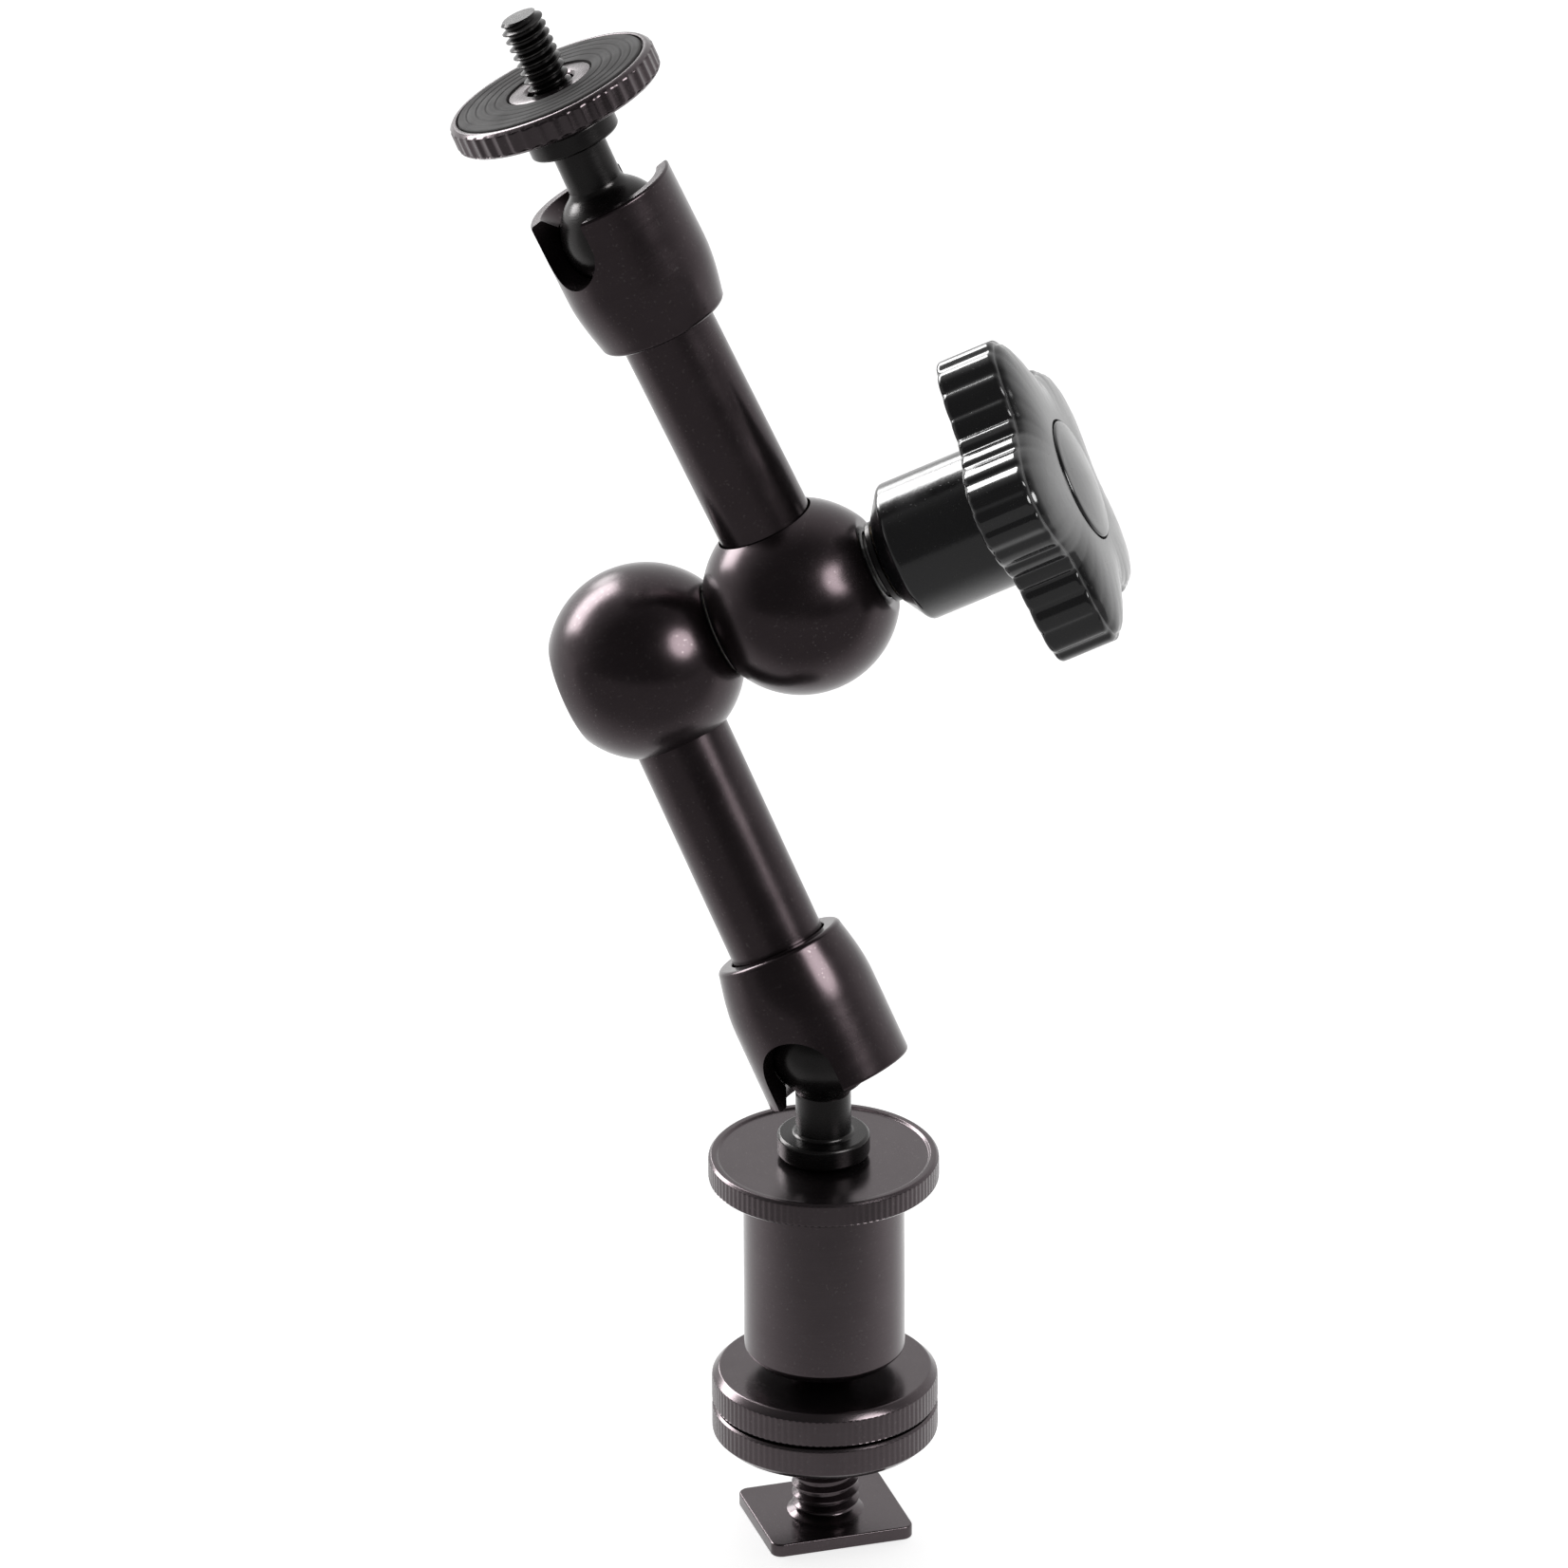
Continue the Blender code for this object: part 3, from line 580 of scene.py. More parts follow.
def knurled(shape, rim, teeth, depth, share=0.5):
    """Straight knurls: points at the rim sink into rounded grooves between the teeth."""
    for vertex in shape.verts:
        reach = math.hypot(vertex.co.x, vertex.co.y)
        if reach < rim - 0.5 * depth:
            continue
        wave = 0.5 - 0.5 * math.cos(teeth * math.atan2(vertex.co.y, vertex.co.x))
        factor = 1 - depth * wave**share / reach
        vertex.co.x *= factor
        vertex.co.y *= factor


def threaded(radius, pitch, depth, bottom, top, tip):
    """A screw from bottom to top with 60 degree threads, a flat crest and root, and a coned tip."""
    root = radius - depth
    turns = math.ceil((top - bottom) / pitch) + 2
    shape = bmesh.new()
    outline = [(root, 0.0), (root, 0.12), (radius, 0.44), (radius, 0.56), (root, 0.88), (root, 1.0)]
    start = bottom - pitch
    points = [shape.verts.new((reach, 0.0, start + share * pitch)) for reach, share in outline]
    edges = [shape.edges.new(link) for link in zip(points, points[1:])]
    bmesh.ops.spin(
        shape,
        geom=points + edges,
        cent=(0.0, 0.0, 0.0),
        axis=(0.0, 0.0, 1.0),
        dvec=(0.0, 0.0, pitch / THREAD_STEPS),
        angle=2 * math.pi * turns,
        steps=THREAD_STEPS * turns,
        use_merge=False,
    )
    bmesh.ops.remove_doubles(shape, verts=shape.verts, dist=WELD)
    for height, way in ((bottom, -1.0), (top, 1.0)):
        everything = shape.verts[:] + shape.edges[:] + shape.faces[:]
        bmesh.ops.bisect_plane(
            shape,
            geom=everything,
            dist=MERGE,
            plane_co=(0.0, 0.0, height),
            plane_no=(0.0, 0.0, way),
            clear_outer=True,
        )
    bmesh.ops.holes_fill(shape, edges=[edge for edge in shape.edges if edge.is_boundary], sides=0)
    for vertex in shape.verts:
        reach = math.hypot(vertex.co.x, vertex.co.y)
        limit = radius - tip + (top - vertex.co.z)
        if reach > limit:
            vertex.co.x *= limit / reach
            vertex.co.y *= limit / reach
    return shape


def spun(shape, degrees, axis):
    """Turns a shape about the X, Y or Z axis."""
    turn = Matrix.Rotation(math.radians(degrees), 3, axis)
    bmesh.ops.rotate(shape, verts=shape.verts, matrix=turn)


def joined(first, second):
    """Adds the second shape's bodies to the first."""
    mesh = bpy.data.meshes.new("joined")
    second.to_mesh(mesh)
    second.free()
    first.from_mesh(mesh)
    bpy.data.meshes.remove(mesh)
    return first


def extruded(outline, bottom, top):
    """A prism from an outline of (x, y) points."""
    shape = bmesh.new()
    base = shape.faces.new([shape.verts.new((x, y, bottom)) for x, y in outline])
    walls = bmesh.ops.extrude_face_region(shape, geom=[base])
    raised = [item for item in walls["geom"] if isinstance(item, bmesh.types.BMVert)]
    bmesh.ops.translate(shape, verts=raised, vec=(0.0, 0.0, top - bottom))
    return shape


def stacked(rings):
    """A solid bridged over rings of points, each with as many points, and capped at both ends."""
    shape = bmesh.new()
    loops = []
    for ring in rings:
        points = [shape.verts.new(point) for point in ring]
        loops.append([shape.edges.new((points[i - 1], points[i])) for i in range(len(points))])
    for below, above in zip(loops, loops[1:]):
        bmesh.ops.bridge_loops(shape, edges=below + above)
    for loop in (loops[0], loops[-1]):
        bmesh.ops.contextual_create(shape, geom=loop)
    return shape


def mesh_of(name, shape):
    bmesh.ops.recalc_face_normals(shape, faces=shape.faces)
    mesh = bpy.data.meshes.new(name)
    shape.to_mesh(mesh)
    shape.free()
    return mesh


def cut(shape, cutters):
    """The shape less its cutters, by exact Booleans that are applied at once."""
    work = bpy.data.objects.new("work", mesh_of("work", shape))
    bpy.context.scene.collection.objects.link(work)
    tools = []
    for cutter in cutters:
        tool = bpy.data.objects.new("cutter", mesh_of("cutter", cutter))
        bpy.context.scene.collection.objects.link(tool)
        modifier = work.modifiers.new("cut", "BOOLEAN")
        modifier.operation = "DIFFERENCE"
        modifier.object = tool
        tools.append(tool)
    bpy.context.view_layer.update()
    graph = bpy.context.evaluated_depsgraph_get()
    result = bmesh.new()
    result.from_mesh(work.evaluated_get(graph).to_mesh())
    for item in [work, *tools]:
        mesh = item.data
        bpy.data.objects.remove(item, do_unlink=True)
        bpy.data.meshes.remove(mesh)
    bmesh.ops.remove_doubles(result, verts=result.verts, dist=WELD)
    return result


def piece(name, shape, place, body, material, nodes=(), edge=0.0):
    """Puts a shape in its place as an object that rides on a body and stands for its frame nodes."""
    bmesh.ops.transform(shape, matrix=place, verts=shape.verts)
    mesh = mesh_of(name, shape)
    mesh.shade_smooth()
    mesh.set_sharp_from_angle(angle=math.radians(SHARP_ANGLE))
    mesh.materials.append(material(name, place))
    made = bpy.data.objects.new(name, mesh)
    bpy.context.scene.collection.objects.link(made)
    if edge:
        bevel = made.modifiers.new("edge", "BEVEL")
        bevel.width = edge
        bevel.segments = EDGE_STEPS
        bevel.limit_method = "ANGLE"
        bevel.angle_limit = math.radians(SHARP_ANGLE)
        bevel.use_clamp_overlap = True
    weighted = made.modifiers.new("normals", "WEIGHTED_NORMAL")
    weighted.keep_sharp = True
    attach(made, body)
    if nodes:
        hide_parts(*nodes)
    return made


def rounded_plate(length, width, corner, steps=8):
    """Outline of a rectangle with round corners."""
    outline = []
    for quarter, (side_x, side_y) in enumerate(((1, 1), (-1, 1), (-1, -1), (1, -1))):
        centre_x = side_x * (length / 2 - corner)
        centre_y = side_y * (width / 2 - corner)
        for step in range(steps + 1):
            angle = math.radians(90 * (quarter + step / steps))
            outline.append((centre_x + corner * math.cos(angle), centre_y + corner * math.sin(angle)))
    return outline


def shoe_adapter():
    """Foot with its threaded stem, clamp disc, lock ring and barrel."""
    low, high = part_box("shoe_foot")
    clamp_bottom, clamp_top, clamp_radius = measure("shoe_clamp_disc", BASE)
    ring_bottom, ring_top, ring_radius = measure("shoe_lock_ring", BASE)
    barrel_bottom, barrel_top, barrel_radius = measure("adapter_barrel", BASE)
    clamp_points = [vertex.co for vertex in frame["nodes"]["shoe_clamp_disc"].data.vertices]
    foot_points = [vertex.co for vertex in frame["nodes"]["shoe_foot"].data.vertices]
    stem_radius = min(math.hypot(point.x, point.y) for point in clamp_points) - GAP
    thickness = min(point.z for point in foot_points if point.z > GAP)
    foot = extruded(rounded_plate(high[0] - low[0], high[1] - low[1], FOOT_CORNER), 0.0, thickness)
    rims = [edge for edge in foot.edges if abs(edge.verts[0].co.z - edge.verts[1].co.z) < MERGE]
    bmesh.ops.bevel(
        foot,
        geom=rims,
        offset=FOOT_EDGE,
        offset_type="OFFSET",
        segments=CORNER_STEPS,
        profile=0.5,
        affect="EDGES",
        material=-1,
    )
    fillet = [
        (0.0, thickness / 2),
        (stem_radius + STEM_FILLET, thickness / 2),
        (stem_radius + STEM_FILLET, thickness),
        (stem_radius - STEM_DEPTH, thickness + STEM_FILLET, LARGE_ROUND),
        (stem_radius - STEM_DEPTH, thickness + STEM_RELIEF + STEM_PITCH),
        (0.0, thickness + STEM_RELIEF + STEM_PITCH),
    ]
    stem_start = thickness + STEM_RELIEF
    stem = threaded(stem_radius, STEM_PITCH, STEM_DEPTH, stem_start, high[2], STEM_TIP)
    joined(foot, joined(turned(fillet, SMALL), stem))
    piece("foot_and_stem", foot, BASE, "base", satin_anodised, ["shoe_foot"])

    bore = stem_radius + GAP
    clamp = [
        (bore, clamp_bottom),
        (clamp_radius - CLAMP_UNDERCUT, clamp_bottom, SMALL_ROUND),
        (clamp_radius, clamp_bottom + CLAMP_UNDERCUT, SMALL_ROUND),
        (clamp_radius, clamp_top - RING_EDGE, TINY_ROUND),
        (clamp_radius - RING_EDGE, clamp_top, TINY_ROUND),
        (bore, clamp_top),
    ]
    shape = turned(clamp, 4 * RING_KNURLS)
    knurled(shape, clamp_radius, RING_KNURLS, KNURL_DEPTH)
    piece("clamp_disc", shape, BASE, "shoe_clamp", satin_anodised, ["shoe_clamp_disc"])

    ring = [
        (bore, ring_bottom),
        (ring_radius - RING_EDGE, ring_bottom, TINY_ROUND),
        (ring_radius, ring_bottom + RING_EDGE, TINY_ROUND),
        (ring_radius, ring_top - RING_SHOULDER, SMALL_ROUND),
        (ring_radius - RING_SHOULDER, ring_top, SMALL_ROUND),
        (bore + RING_BORE_EDGE, ring_top, TINY_ROUND),
        (bore, ring_top - RING_BORE_EDGE, TINY_ROUND),
    ]
    shape = turned(ring, 4 * RING_KNURLS)
    knurled(shape, ring_radius, RING_KNURLS, KNURL_DEPTH)
    piece("lock_ring", shape, BASE, "shoe_ring", satin_anodised, ["shoe_lock_ring"])

    stem_end = barrel_bottom + STEM_ENGAGEMENT + GAP
    screw_floor = measure("lower_ball_stud", BASE)[0] - GAP
    barrel = [
        (0.0, stem_end),
        (bore, stem_end),
        (bore, barrel_bottom, SMALL_ROUND),
        (barrel_radius - BARREL_FOOT_CHAMFER, barrel_bottom, LARGE_ROUND),
        (barrel_radius, barrel_bottom + BARREL_FOOT_CHAMFER, LARGE_ROUND),
        (barrel_radius, barrel_top - BARREL_EDGE, SMALL_ROUND),
        (barrel_radius - BARREL_EDGE, barrel_top, SMALL_ROUND),
        (SCREW_RADIUS + GAP, barrel_top),
        (SCREW_RADIUS + GAP, screw_floor),
        (0.0, screw_floor),
    ]
    shape = turned(barrel, FINE)
    piece("barrel", shape, BASE, "base", satin_anodised, ["adapter_barrel"])


def ball_stud(name, place, body, node):
    """Ball, waisted neck, stop flange and threaded screw."""
    screw_end = measure(node, place)[1]
    flange_start = FLANGE_REACH - FLANGE_THICKNESS
    join_angle = math.degrees(math.asin((NECK_RADIUS + NECK_SPREAD) / BALL_RADIUS))
    profile = arc(BALL_RADIUS, 180.0, join_angle, BALL_STEPS)
    profile[0] = (0.0, -BALL_RADIUS)
    profile += [
        (NECK_RADIUS, profile[-1][1] + NECK_FILLET, NECK_TOP_ROUND),
        (NECK_RADIUS, flange_start, NECK_FOOT_ROUND),
        (FLANGE_RADIUS - FLANGE_EDGE, flange_start, FLANGE_ROUND),
        (FLANGE_RADIUS, flange_start + FLANGE_EDGE, FLANGE_ROUND),
        (FLANGE_RADIUS, FLANGE_REACH - FLANGE_EDGE, FLANGE_ROUND),
        (FLANGE_RADIUS - FLANGE_EDGE, FLANGE_REACH, FLANGE_ROUND),
        (SCREW_RADIUS - SCREW_DEPTH, FLANGE_REACH, SMALL_ROUND),
        (SCREW_RADIUS - SCREW_DEPTH, FLANGE_REACH + SCREW_RELIEF + SCREW_PITCH),
        (0.0, FLANGE_REACH + SCREW_RELIEF + SCREW_PITCH),
    ]
    shape = turned(profile, ROUND)
    screw_start = FLANGE_REACH + SCREW_RELIEF
    screw = threaded(SCREW_RADIUS, SCREW_PITCH, SCREW_DEPTH, screw_start, screw_end, SCREW_TIP)
    joined(shape, screw)
    piece(name, shape, place, body, black_steel, [node])


def lock_discs():
    """The lower disc with its dished face and the fluted upper one with its rubber ring."""
    bore = SCREW_RADIUS + GAP
    bottom, top, radius = measure("lower_lock_disc", LOWER_STUD)
    dish_radius = radius - DISC_RIM_WIDTH
    lower = [
        (bore, bottom + DISC_DISH),
        (dish_radius - DISC_DISH, bottom + DISC_DISH, TINY_ROUND),
        (dish_radius, bottom, TINY_ROUND),
        (radius - RING_EDGE, bottom, TINY_ROUND),
        (radius, bottom + RING_EDGE, TINY_ROUND),
        (radius, top - RING_EDGE, TINY_ROUND),
        (radius - RING_EDGE, top, TINY_ROUND),
        (bore, top),
    ]
    shape = turned(lower, 4 * DISC_KNURLS)
    knurled(shape, radius, DISC_KNURLS, KNURL_DEPTH)
    nodes = ["lower_lock_disc"]
    piece("lower_disc", shape, LOWER_STUD, "lower_disc", satin_anodised, nodes)

    bottom, top, radius = measure("upper_lock_disc", UPPER_STUD)
    pad_bottom, pad_top, pad_radius = measure("upper_disc_pad", UPPER_STUD)
    well_floor = pad_bottom - GAP
    well = pad_radius + GAP
    hub = PAD_INNER_RADIUS - GAP
    upper = [
        (bore, bottom + UPPER_BORE_EDGE, TINY_ROUND),
        (bore + UPPER_BORE_EDGE, bottom, TINY_ROUND),
        (radius - UPPER_DISC_EDGE, bottom, SMALL_ROUND),
        (radius, bottom + UPPER_DISC_EDGE, SMALL_ROUND),
        (radius, top - UPPER_DISC_EDGE, SMALL_ROUND),
        (radius - UPPER_DISC_EDGE, top, SMALL_ROUND),
        (well, top, PAD_ROUND),
        (well, well_floor),
        (hub, well_floor),
        (hub, top, TINY_ROUND),
        (bore + UPPER_BORE_EDGE, top, TINY_ROUND),
        (bore, top - UPPER_BORE_EDGE, TINY_ROUND),
    ]
    shape = turned(upper, 8 * UPPER_FLUTES)
    knurled(shape, radius, UPPER_FLUTES, UPPER_FLUTE_DEPTH, share=0.7)
    nodes = ["upper_lock_disc"]
    piece("upper_disc", shape, UPPER_STUD, "upper_disc", satin_anodised, nodes)

    pad = [
        (PAD_INNER_RADIUS, pad_bottom),
        (pad_radius, pad_bottom),
        (pad_radius, pad_top - PAD_PROUD, PAD_ROUND),
    ]
    pitch = (pad_radius - PAD_PROUD - PAD_INNER_RADIUS) / PAD_RIDGES
    for i in range(PAD_RIDGES):
        outer = pad_radius - PAD_PROUD - i * pitch
        pad.append((outer, pad_top, TINY_ROUND))
        pad.append((outer - PAD_RIDGE_SHARE * pitch, pad_top, TINY_ROUND))
        if i < PAD_RIDGES - 1:
            groove = outer - PAD_GROOVE_SHARE * pitch
            pad.append((groove, pad_top - PAD_RIDGE_DEPTH, GROOVE_ROUND))
    pad[-1] = (PAD_INNER_RADIUS, pad_top, TINY_ROUND)
    shape = turned(pad, FINE)
    nodes = ["upper_disc_pad"]
    piece("upper_pad", shape, UPPER_STUD, "upper_pad", grey_rubber, nodes)


def arm_section(prefix, place, notch_turn):
    """Tube and notched socket cup of one arm."""
    tube_start, tube_end, tube_radius = measure(prefix + "_arm_tube", place)
    cup_back, cup_rim, cup_radius = measure(prefix + "_socket_cup", place)
    rod_bore = ROD_RADIUS + GAP
    tube = [
        (rod_bore, tube_start),
        (tube_radius, tube_start, TUBE_EDGE),
        (tube_radius, tube_end, TUBE_EDGE),
        (rod_bore, tube_end),
    ]
    body = prefix + "_arm"
    label = prefix + "_tube"
    shape = turned(tube, FINE)
    nodes = [prefix + "_arm_tube"]
    piece(label, shape, place, body, black_anodised, nodes)

    bore = tube_radius + GAP
    shoulder = bore + CUP_SHOULDER_WALL
    taper_start = cup_back + CUP_SHOULDER_ROUND
    lip_start = 180 - math.degrees(math.asin(bore / POCKET_RADIUS))
    lip = arc(POCKET_RADIUS, LIP_ANGLE, lip_start, BALL_STEPS, ARM_LENGTH)
    offset = shoulder - CUP_SHOULDER_ROUND
    profile = [(bore, cup_back, SMALL_ROUND)]
    profile += arc(CUP_SHOULDER_ROUND, 180.0, 90.0, SHOULDER_STEPS, taper_start, offset)
    for step in range(1, TAPER_STEPS + 1):
        share = step / TAPER_STEPS
        swell = (cup_radius - shoulder) * math.sin(0.5 * math.pi * share)
        profile.append((shoulder + swell, taper_start + CUP_TAPER_LENGTH * share))
    profile += [
        (cup_radius, cup_rim, CUP_EDGE),
        (lip[0][0] + LIP_FLARE, cup_rim, SMALL_ROUND),
    ]
    half = NOTCH_WIDTH / 2
    round_centre = cup_rim - NOTCH_DEPTH + half
    outline = [(half, cup_rim + half), (-half, cup_rim + half)]
    for step in range(SMALL // 2 + 1):
        angle = math.pi * (1 + step / (SMALL // 2))
        outline.append((half * math.cos(angle), round_centre + half * math.sin(angle)))
    reach = cup_radius + half
    notch = extruded(outline, -reach, reach)
    spun(notch, 90.0, "X")
    spun(notch, notch_turn, "Z")
    cup = cut(turned(profile + lip, FINE), [notch])
    label = prefix + "_cup"
    nodes = [prefix + "_socket_cup"]
    piece(label, cup, place, body, black_anodised, nodes, NOTCH_EDGE)


def elbow_ball(name, place, body, node, mating_way, outer_flat):
    """Ball block bored along the clamp axis and for its tube, which runs along the place's Z."""
    tube_start, _, tube_radius = measure(body + "_tube", place)
    tube_socket = tube_start - GAP
    tube_bore = tube_radius + GAP
    flat_angle = math.degrees(math.acos(outer_flat / ELBOW_RADIUS))
    mating_angle = math.degrees(math.acos(MATING_REACH / ELBOW_RADIUS))
    recess = (WASHER_THICKNESS + GAP) / 2
    profile = [
        (WEDGE_BORE, -outer_flat, LARGE_ROUND),
        (WEDGE_BORE, SHOULDER_REACH),
        (SPRING_BORE, SHOULDER_REACH),
        (SPRING_BORE, MATING_REACH - recess),
        (WASHER_RADIUS + GAP, MATING_REACH - recess),
        (WASHER_RADIUS + GAP, MATING_REACH, SMALL_ROUND),
    ]
    ball = arc(ELBOW_RADIUS, mating_angle, 180 - flat_angle, BALL_STEPS)
    profile += [(*ball[0], LARGE_ROUND), *ball[1:-1], (*ball[-1], LARGE_ROUND)]
    shape = turned(profile, BALL)
    spun(shape, 90.0 * mating_way, "Y")
    drill = [
        (0.0, 0.0),
        (ROD_RADIUS + GAP, 0.0),
        (ROD_RADIUS + GAP, tube_socket),
        (tube_bore, tube_socket),
        (tube_bore, ELBOW_RADIUS + GAP),
        (0.0, ELBOW_RADIUS + GAP),
    ]
    shape = cut(shape, [turned(drill, ROUND)])
    piece(name, shape, place, body, black_anodised, [node], NOTCH_EDGE)


def washer(bore, radius, bottom, top):
    """A flat ring with its outer corners rounded."""
    profile = [(bore, bottom), (radius, bottom, SMALL_ROUND), (radius, top, SMALL_ROUND), (bore, top)]
    return turned(profile, ROUND)


def clamp_train():
    """Draw bolt with its key socket, the friction washer and the thrust ring."""
    head_end, bolt_end, _ = measure("draw_bolt", DRAW_BOLT)
    bolt = [
        (0.0, head_end),
        (WEDGE_RADIUS, head_end, BOLT_EDGE),
        (WEDGE_RADIUS, -WEDGE_BASE_REACH),
        (WEDGE_TIP_RADIUS, WEDGE_TIP_REACH, SMALL_ROUND),
        (BOLT_RADIUS, WEDGE_TIP_REACH),
        (BOLT_RADIUS, bolt_end - SCREW_TIP),
        (BOLT_RADIUS - SCREW_TIP, bolt_end),
        (0.0, bolt_end),
    ]
    key = rod(BOLT_KEY_RADIUS, head_end - GAP, head_end + BOLT_KEY_DEPTH, HEX_SIDES)
    shape = cut(turned(bolt, SMALL), [key])
    nodes = ["draw_bolt"]
    piece("clamp_bolt", shape, DRAW_BOLT, "clamp_bolt", bright_steel, nodes, CUT_EDGE)

    low, high, radius = measure("elbow_friction_washer", KNOB)
    shape = washer(SPRING_BORE, radius, low, high)
    nodes = ["elbow_friction_washer"]
    piece("friction_washer", shape, KNOB, "upper_arm", white_nylon, nodes)

    low, high, radius = measure("thrust_washer", KNOB)
    shape = washer(BOLT_RADIUS + GAP, radius, low, high)
    nodes = ["thrust_washer"]
    piece("thrust_ring", shape, KNOB, "upper_wedge", black_steel, nodes)


def grip_ring(height, spread=1.0, inset=0.0, ribs=1.0):
    """One level of the knob's grip: round ribbed lobes, which spread draws in towards the cap."""
    core = CAP_RADIUS - GAP
    ring = []
    for i in range(KNOB_POINTS):
        angle = 2 * math.pi * i / KNOB_POINTS
        valley = 0.5 - 0.5 * math.cos(KNOB_LOBES * (angle - math.pi))
        groove = (0.5 - 0.5 * math.cos(KNOB_RIBS * angle)) ** 2
        outer = KNOB_RADIUS - KNOB_VALLEY * valley - RIB_DEPTH * groove * ribs - inset
        reach = core + (outer - core) * spread
        ring.append((reach * math.cos(angle), reach * math.sin(angle), height))
    return ring


def knob():
    """Lobed hand knob with collar, nut and face cap."""
    nut_start, nut_end, _ = measure("knob_nut", KNOB)
    back = nut_start + COLLAR_LENGTH
    face = back + KNOB_SKIRT
    turns = [0.5 * math.pi * step / KNOB_EDGE_STEPS for step in range(KNOB_EDGE_STEPS + 1)]
    rings = []
    for turn in turns:
        inset = KNOB_BACK_EDGE * (1 - math.sin(turn))
        rings.append(grip_ring(back + KNOB_BACK_EDGE * (1 - math.cos(turn)), inset=inset))
    for step, turn in enumerate(turns):
        inset = KNOB_FRONT_ROUND * (1 - math.cos(turn))
        height = face - KNOB_FRONT_ROUND * (1 - math.sin(turn))
        ribs = 1 - RIB_FADE * step / KNOB_EDGE_STEPS
        rings.append(grip_ring(height, inset=inset, ribs=ribs))
    for turn in turns[1:]:
        height = face + KNOB_DOME * math.sin(turn)
        rings.append(grip_ring(height, math.cos(turn), KNOB_FRONT_ROUND, 1 - RIB_FADE))
    cap_floor = face + KNOB_DOME - CAP_RECESS
    cap_hole = rod(CAP_RADIUS + GAP, cap_floor, face + 2 * KNOB_DOME, ROUND)
    shape = cut(stacked(rings), [cap_hole])
    nodes = ["knob_body"]
    piece("knob_grip", shape, KNOB, "knob", gloss_plastic, nodes, CUT_EDGE)

    nut_hole = NUT_RADIUS + GAP / math.cos(math.pi / HEX_SIDES)
    collar = [
        (0.0, nut_end + GAP),
        (nut_hole, nut_end + GAP),
        (nut_hole, nut_start, TINY_ROUND),
        (COLLAR_NOSE_RADIUS, nut_start, LARGE_ROUND),
        (COLLAR_RADIUS, nut_start + COLLAR_NOSE_LENGTH, COLLAR_NOSE_ROUND),
        (COLLAR_RADIUS, back, COLLAR_FLARE),
        (COLLAR_RADIUS + 2 * COLLAR_FLARE, back + COLLAR_FLARE / 2),
        (0.0, back + COLLAR_FLARE / 2),
    ]
    piece("knob_collar", turned(collar, FINE), KNOB, "knob", gloss_plastic)

    low, high, radius = measure("knob_cap", KNOB)
    reach = radius - CAP_EDGE
    crown_radius = (reach**2 + CAP_CROWN**2) / (2 * CAP_CROWN)
    crown_angle = math.degrees(math.asin(reach / crown_radius))
    crown = arc(crown_radius, crown_angle, 0.0, CROWN_STEPS, high - crown_radius)
    crown[-1] = (0.0, high)
    cap = [(0.0, low), (radius, low), (radius, high - CAP_CROWN, CAP_EDGE), *crown[1:]]
    piece("face_cap", turned(cap, FINE), KNOB, "knob", gloss_plastic, ["knob_cap"])

    bolt_hole = rod(BOLT_RADIUS + GAP, nut_start - GAP, nut_end + GAP, SMALL)
    nut = cut(rod(NUT_RADIUS, nut_start, nut_end, HEX_SIDES), [bolt_hole])
    piece("threaded_nut", nut, KNOB, "knob", brass, ["knob_nut"], CUT_EDGE)


def inner_pieces():
    """Finishes of the pieces that stay as the frame has them."""
    finishes = {
        "lower_ball_seat": (brass, LOWER_ARM),
        "upper_ball_seat": (brass, UPPER_ARM),
        "lower_push_rod": (bright_steel, LOWER_ARM),
        "upper_push_rod": (bright_steel, UPPER_ARM),
        "release_spring": (bright_steel, DRAW_BOLT),
        "upper_wedge_cone": (bright_steel, KNOB),
    }
    for node, (material, place) in finishes.items():
        item = frame["nodes"][node]
        finish = material(node + "_finish", place)
        for slot in item.material_slots:
            slot.material = finish
        if not item.material_slots:
            item.data.materials.append(finish)


def view_ways():
    """The camera's right, up and back directions."""
    azimuth = math.radians(VIEW_AZIMUTH)
    elevation = math.radians(VIEW_ELEVATION)
    roll = math.radians(VIEW_ROLL)
    right = Vector((math.cos(azimuth), math.sin(azimuth), 0.0))
    back = Vector(
        (
            math.sin(azimuth) * math.cos(elevation),
            -math.cos(azimuth) * math.cos(elevation),
            math.sin(elevation),
        )
    )
    up = back.cross(right)
    turned_right = right * math.cos(roll) - up * math.sin(roll)
    turned_up = right * math.sin(roll) + up * math.cos(roll)
    return turned_right, turned_up, back


RIGHT, ABOVE, BACK = view_ways()


def camera():
    """A long lens that frames the arm as the photograph does."""
    aim = TARGET - RIGHT * (TARGET_PIXEL[0] - PHOTO_SIZE / 2) / PIXELS_PER_METRE
    aim += ABOVE * (TARGET_PIXEL[1] - PHOTO_SIZE / 2) / PIXELS_PER_METRE
    data = bpy.data.cameras.new("camera")
    data.sensor_fit = "HORIZONTAL"
    data.sensor_width = SENSOR_MM
    data.lens = PIXELS_PER_METRE * VIEW_DISTANCE / PHOTO_SIZE * SENSOR_MM
    data.clip_start = 0.1
    data.clip_end = 100.0
    item = bpy.data.objects.new("camera", data)
    turn = Matrix((RIGHT, ABOVE, BACK)).transposed().to_4x4()
    item.matrix_world = Matrix.Translation(aim + BACK * VIEW_DISTANCE) @ turn
    bpy.context.scene.collection.objects.link(item)
    bpy.context.scene.camera = item


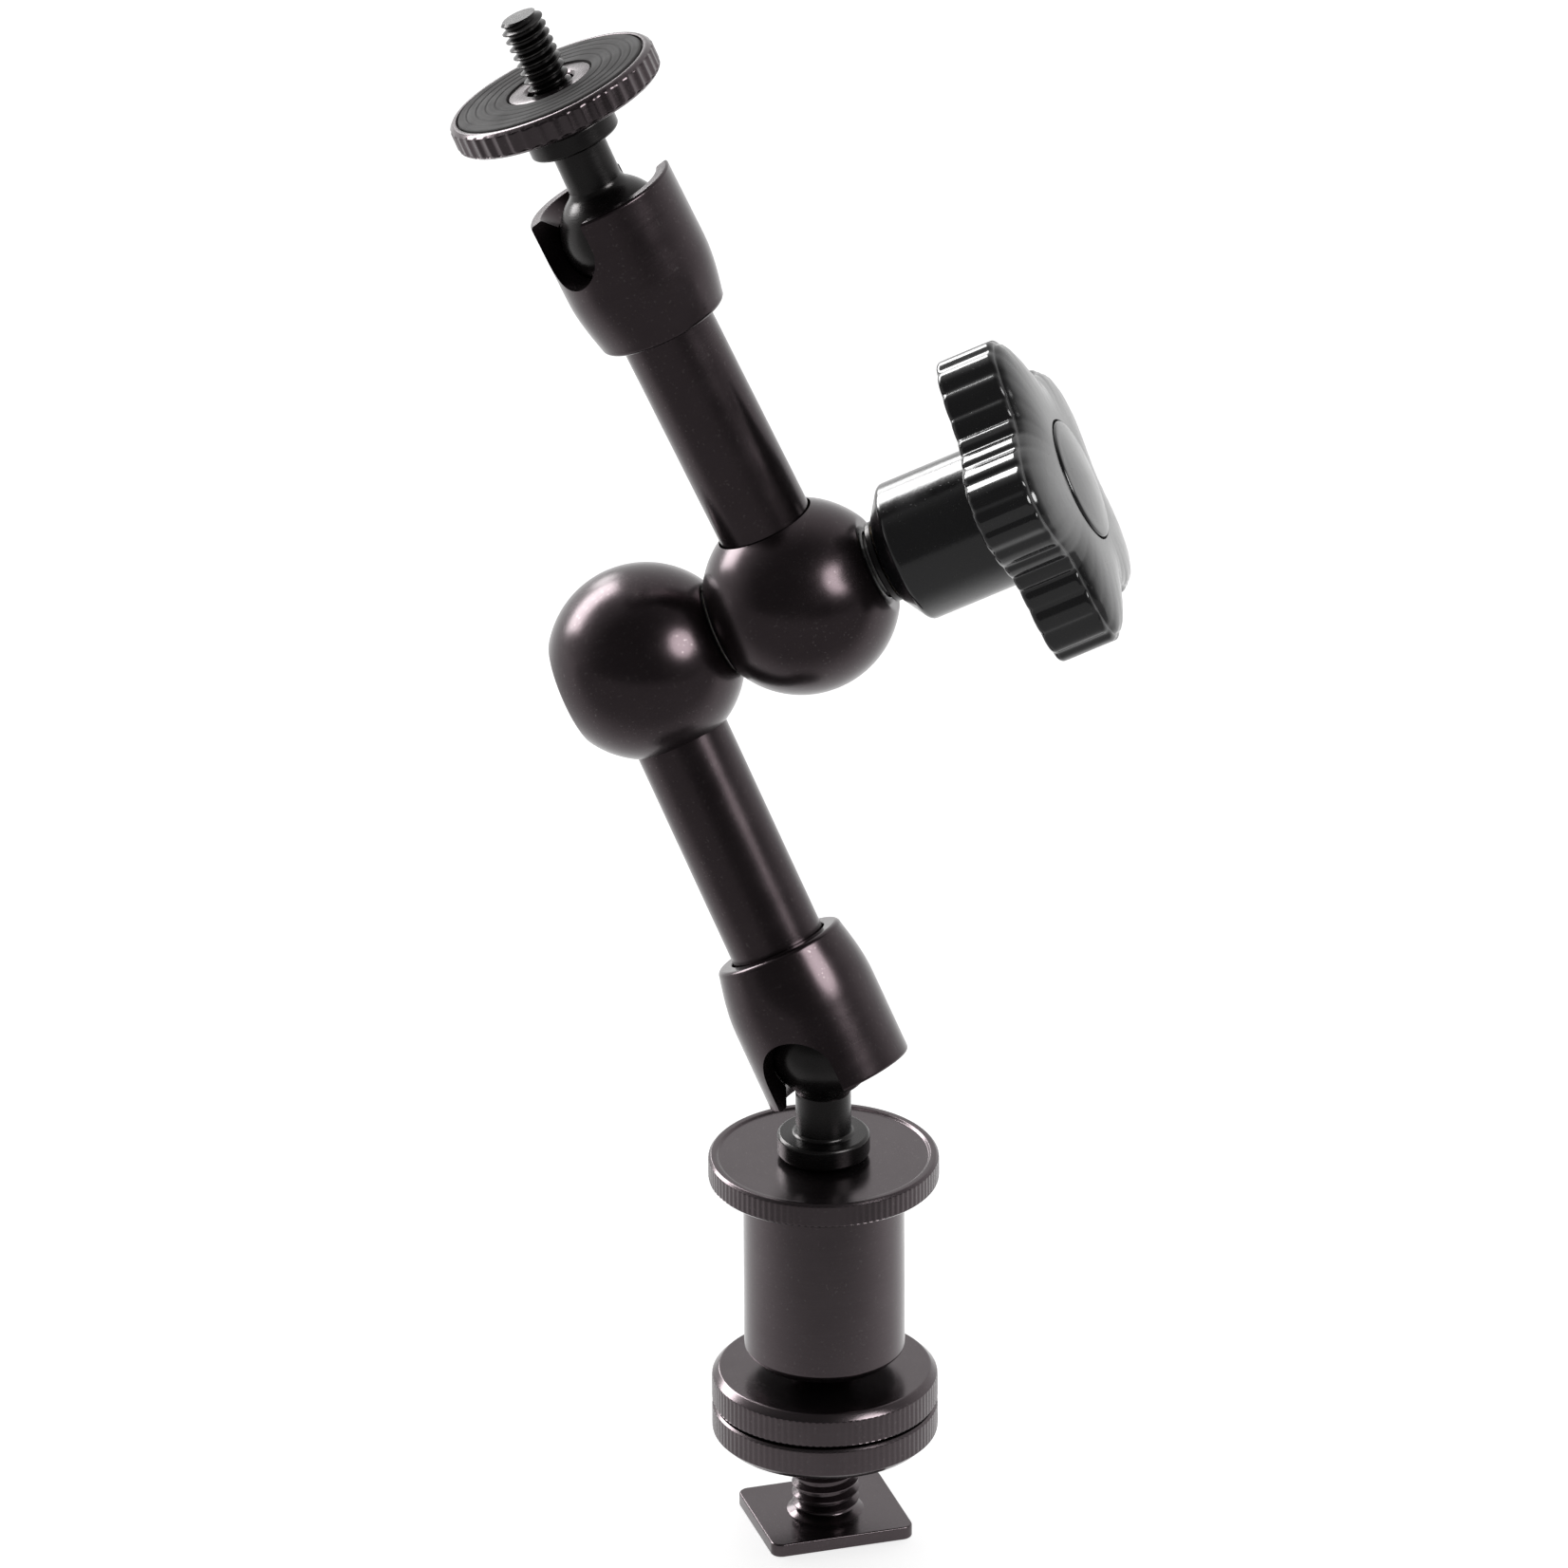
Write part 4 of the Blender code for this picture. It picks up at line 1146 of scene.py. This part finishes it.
def area_light(name, form, way, size, along, power):
    """A flat lamp that faces the arm from a direction and shows only in its gloss."""
    data = bpy.data.lights.new(name, "AREA")
    data.shape = form
    data.size, data.size_y = size
    data.energy = power
    item = bpy.data.objects.new(name, data)
    place = TARGET + way.normalized() * LAMP_DISTANCE
    item.matrix_world = place_along(place, way, along.cross(way))
    item.visible_diffuse = False
    bpy.context.scene.collection.objects.link(item)


def lights():
    """A long strip and a small lamp behind, and a soft window in front on the right."""
    strip = -0.67 * RIGHT + 0.67 * ABOVE - 0.31 * BACK
    strip_run = 0.51 * RIGHT + 0.47 * ABOVE - 0.04 * BACK
    window = 0.64 * RIGHT + 0.33 * ABOVE + 0.69 * BACK
    rear = -0.37 * RIGHT + 0.68 * ABOVE - 0.63 * BACK
    area_light("strip", "RECTANGLE", strip, STRIP_SIZE, strip_run, STRIP_POWER)
    area_light("window", "ELLIPSE", window, WINDOW_SIZE, ABOVE, WINDOW_POWER)
    area_light("rear", "ELLIPSE", rear, REAR_SIZE, ABOVE, REAR_POWER)


def room():
    """A white room behind the arm that reflects darker from the camera's side."""
    world = bpy.data.worlds.new("room")
    bpy.context.scene.world = world
    world.use_nodes = True
    network = Network(world.node_tree)
    way = network.node("ShaderNodeTexCoord", output="Generated")
    settings = {"operation": "DOT_PRODUCT"}
    towards = network.node("ShaderNodeVectorMath", settings, {0: way, 1: BACK}, "Value")
    fall = network.ranged(towards, -0.45, 0.65, 1.15, 0.13)
    seen = network.node("ShaderNodeLightPath", output="Is Camera Ray")
    background = world.node_tree.nodes["Background"]
    network.put(background.inputs["Strength"], seen.math("MAXIMUM", fall))
    network.put(background.inputs["Color"], grey(1.0))


def floor():
    """A white floor that keeps the arm's shadow, with painted shade on its front and a painted glow
    that is dimmer there, so that, like the room, it reflects darker in front.
    """
    shape = bmesh.new()
    bmesh.ops.create_grid(shape, x_segments=1, y_segments=1, size=FLOOR_REACH)
    mesh = bpy.data.meshes.new("floor")
    shape.to_mesh(mesh)
    shape.free()
    item = bpy.data.objects.new("floor", mesh)
    bpy.context.scene.collection.objects.link(item)
    surface = Surface("floor", BASE)
    grain = surface.noise(30.0)
    ahead = surface.x * BACK.x + surface.y * BACK.y
    # Painted shade: the front of the floor, on the camera's side, turns grey and glows less. This
    # stands in for the unlit room there.
    painted_front_shade = surface.ranged(ahead, -0.03, 0.10)
    colour = surface.blend(grain, grey(0.86), grey(0.90))
    colour = surface.blend(painted_front_shade, colour, grey(0.55))
    seen = surface.node("ShaderNodeLightPath", output="Is Camera Ray")
    # Painted light: for other rays the floor glows brightly at the back and dimly in front. The camera
    # sees an even glow that keeps the floor white.
    glow = surface.blend(painted_front_shade, grey(0.80), grey(0.15))
    glow = surface.blend(seen, glow, grey(0.75))
    material = surface.finish(
        base_color=colour,
        roughness=0.9,
        specular_ior_level=0.0,
        emission_color=glow,
        emission_strength=1.0,
    )
    mesh.materials.append(material)


def main():
    shoe_adapter()
    ball_stud("lower_stud", LOWER_STUD, "lower_stud", "lower_ball_stud")
    ball_stud("upper_stud", UPPER_STUD, "upper_stud", "upper_ball_stud")
    lock_discs()
    arm_section("lower", LOWER_ARM, LOWER_NOTCH_TURN)
    arm_section("upper", UPPER_ARM, UPPER_NOTCH_TURN)
    elbow_ball("lower_elbow", LOWER_ARM, "lower_arm", "lower_elbow_ball", 1, FAR_FLAT_REACH)
    elbow_ball("upper_elbow", UPPER_ARM, "upper_arm", "upper_elbow_ball", -1, KNOB_FLAT_REACH)
    clamp_train()
    knob()
    inner_pieces()
    floor()
    lights()
    room()
    camera()
    bpy.context.scene.view_settings.view_transform = "Standard"


main()
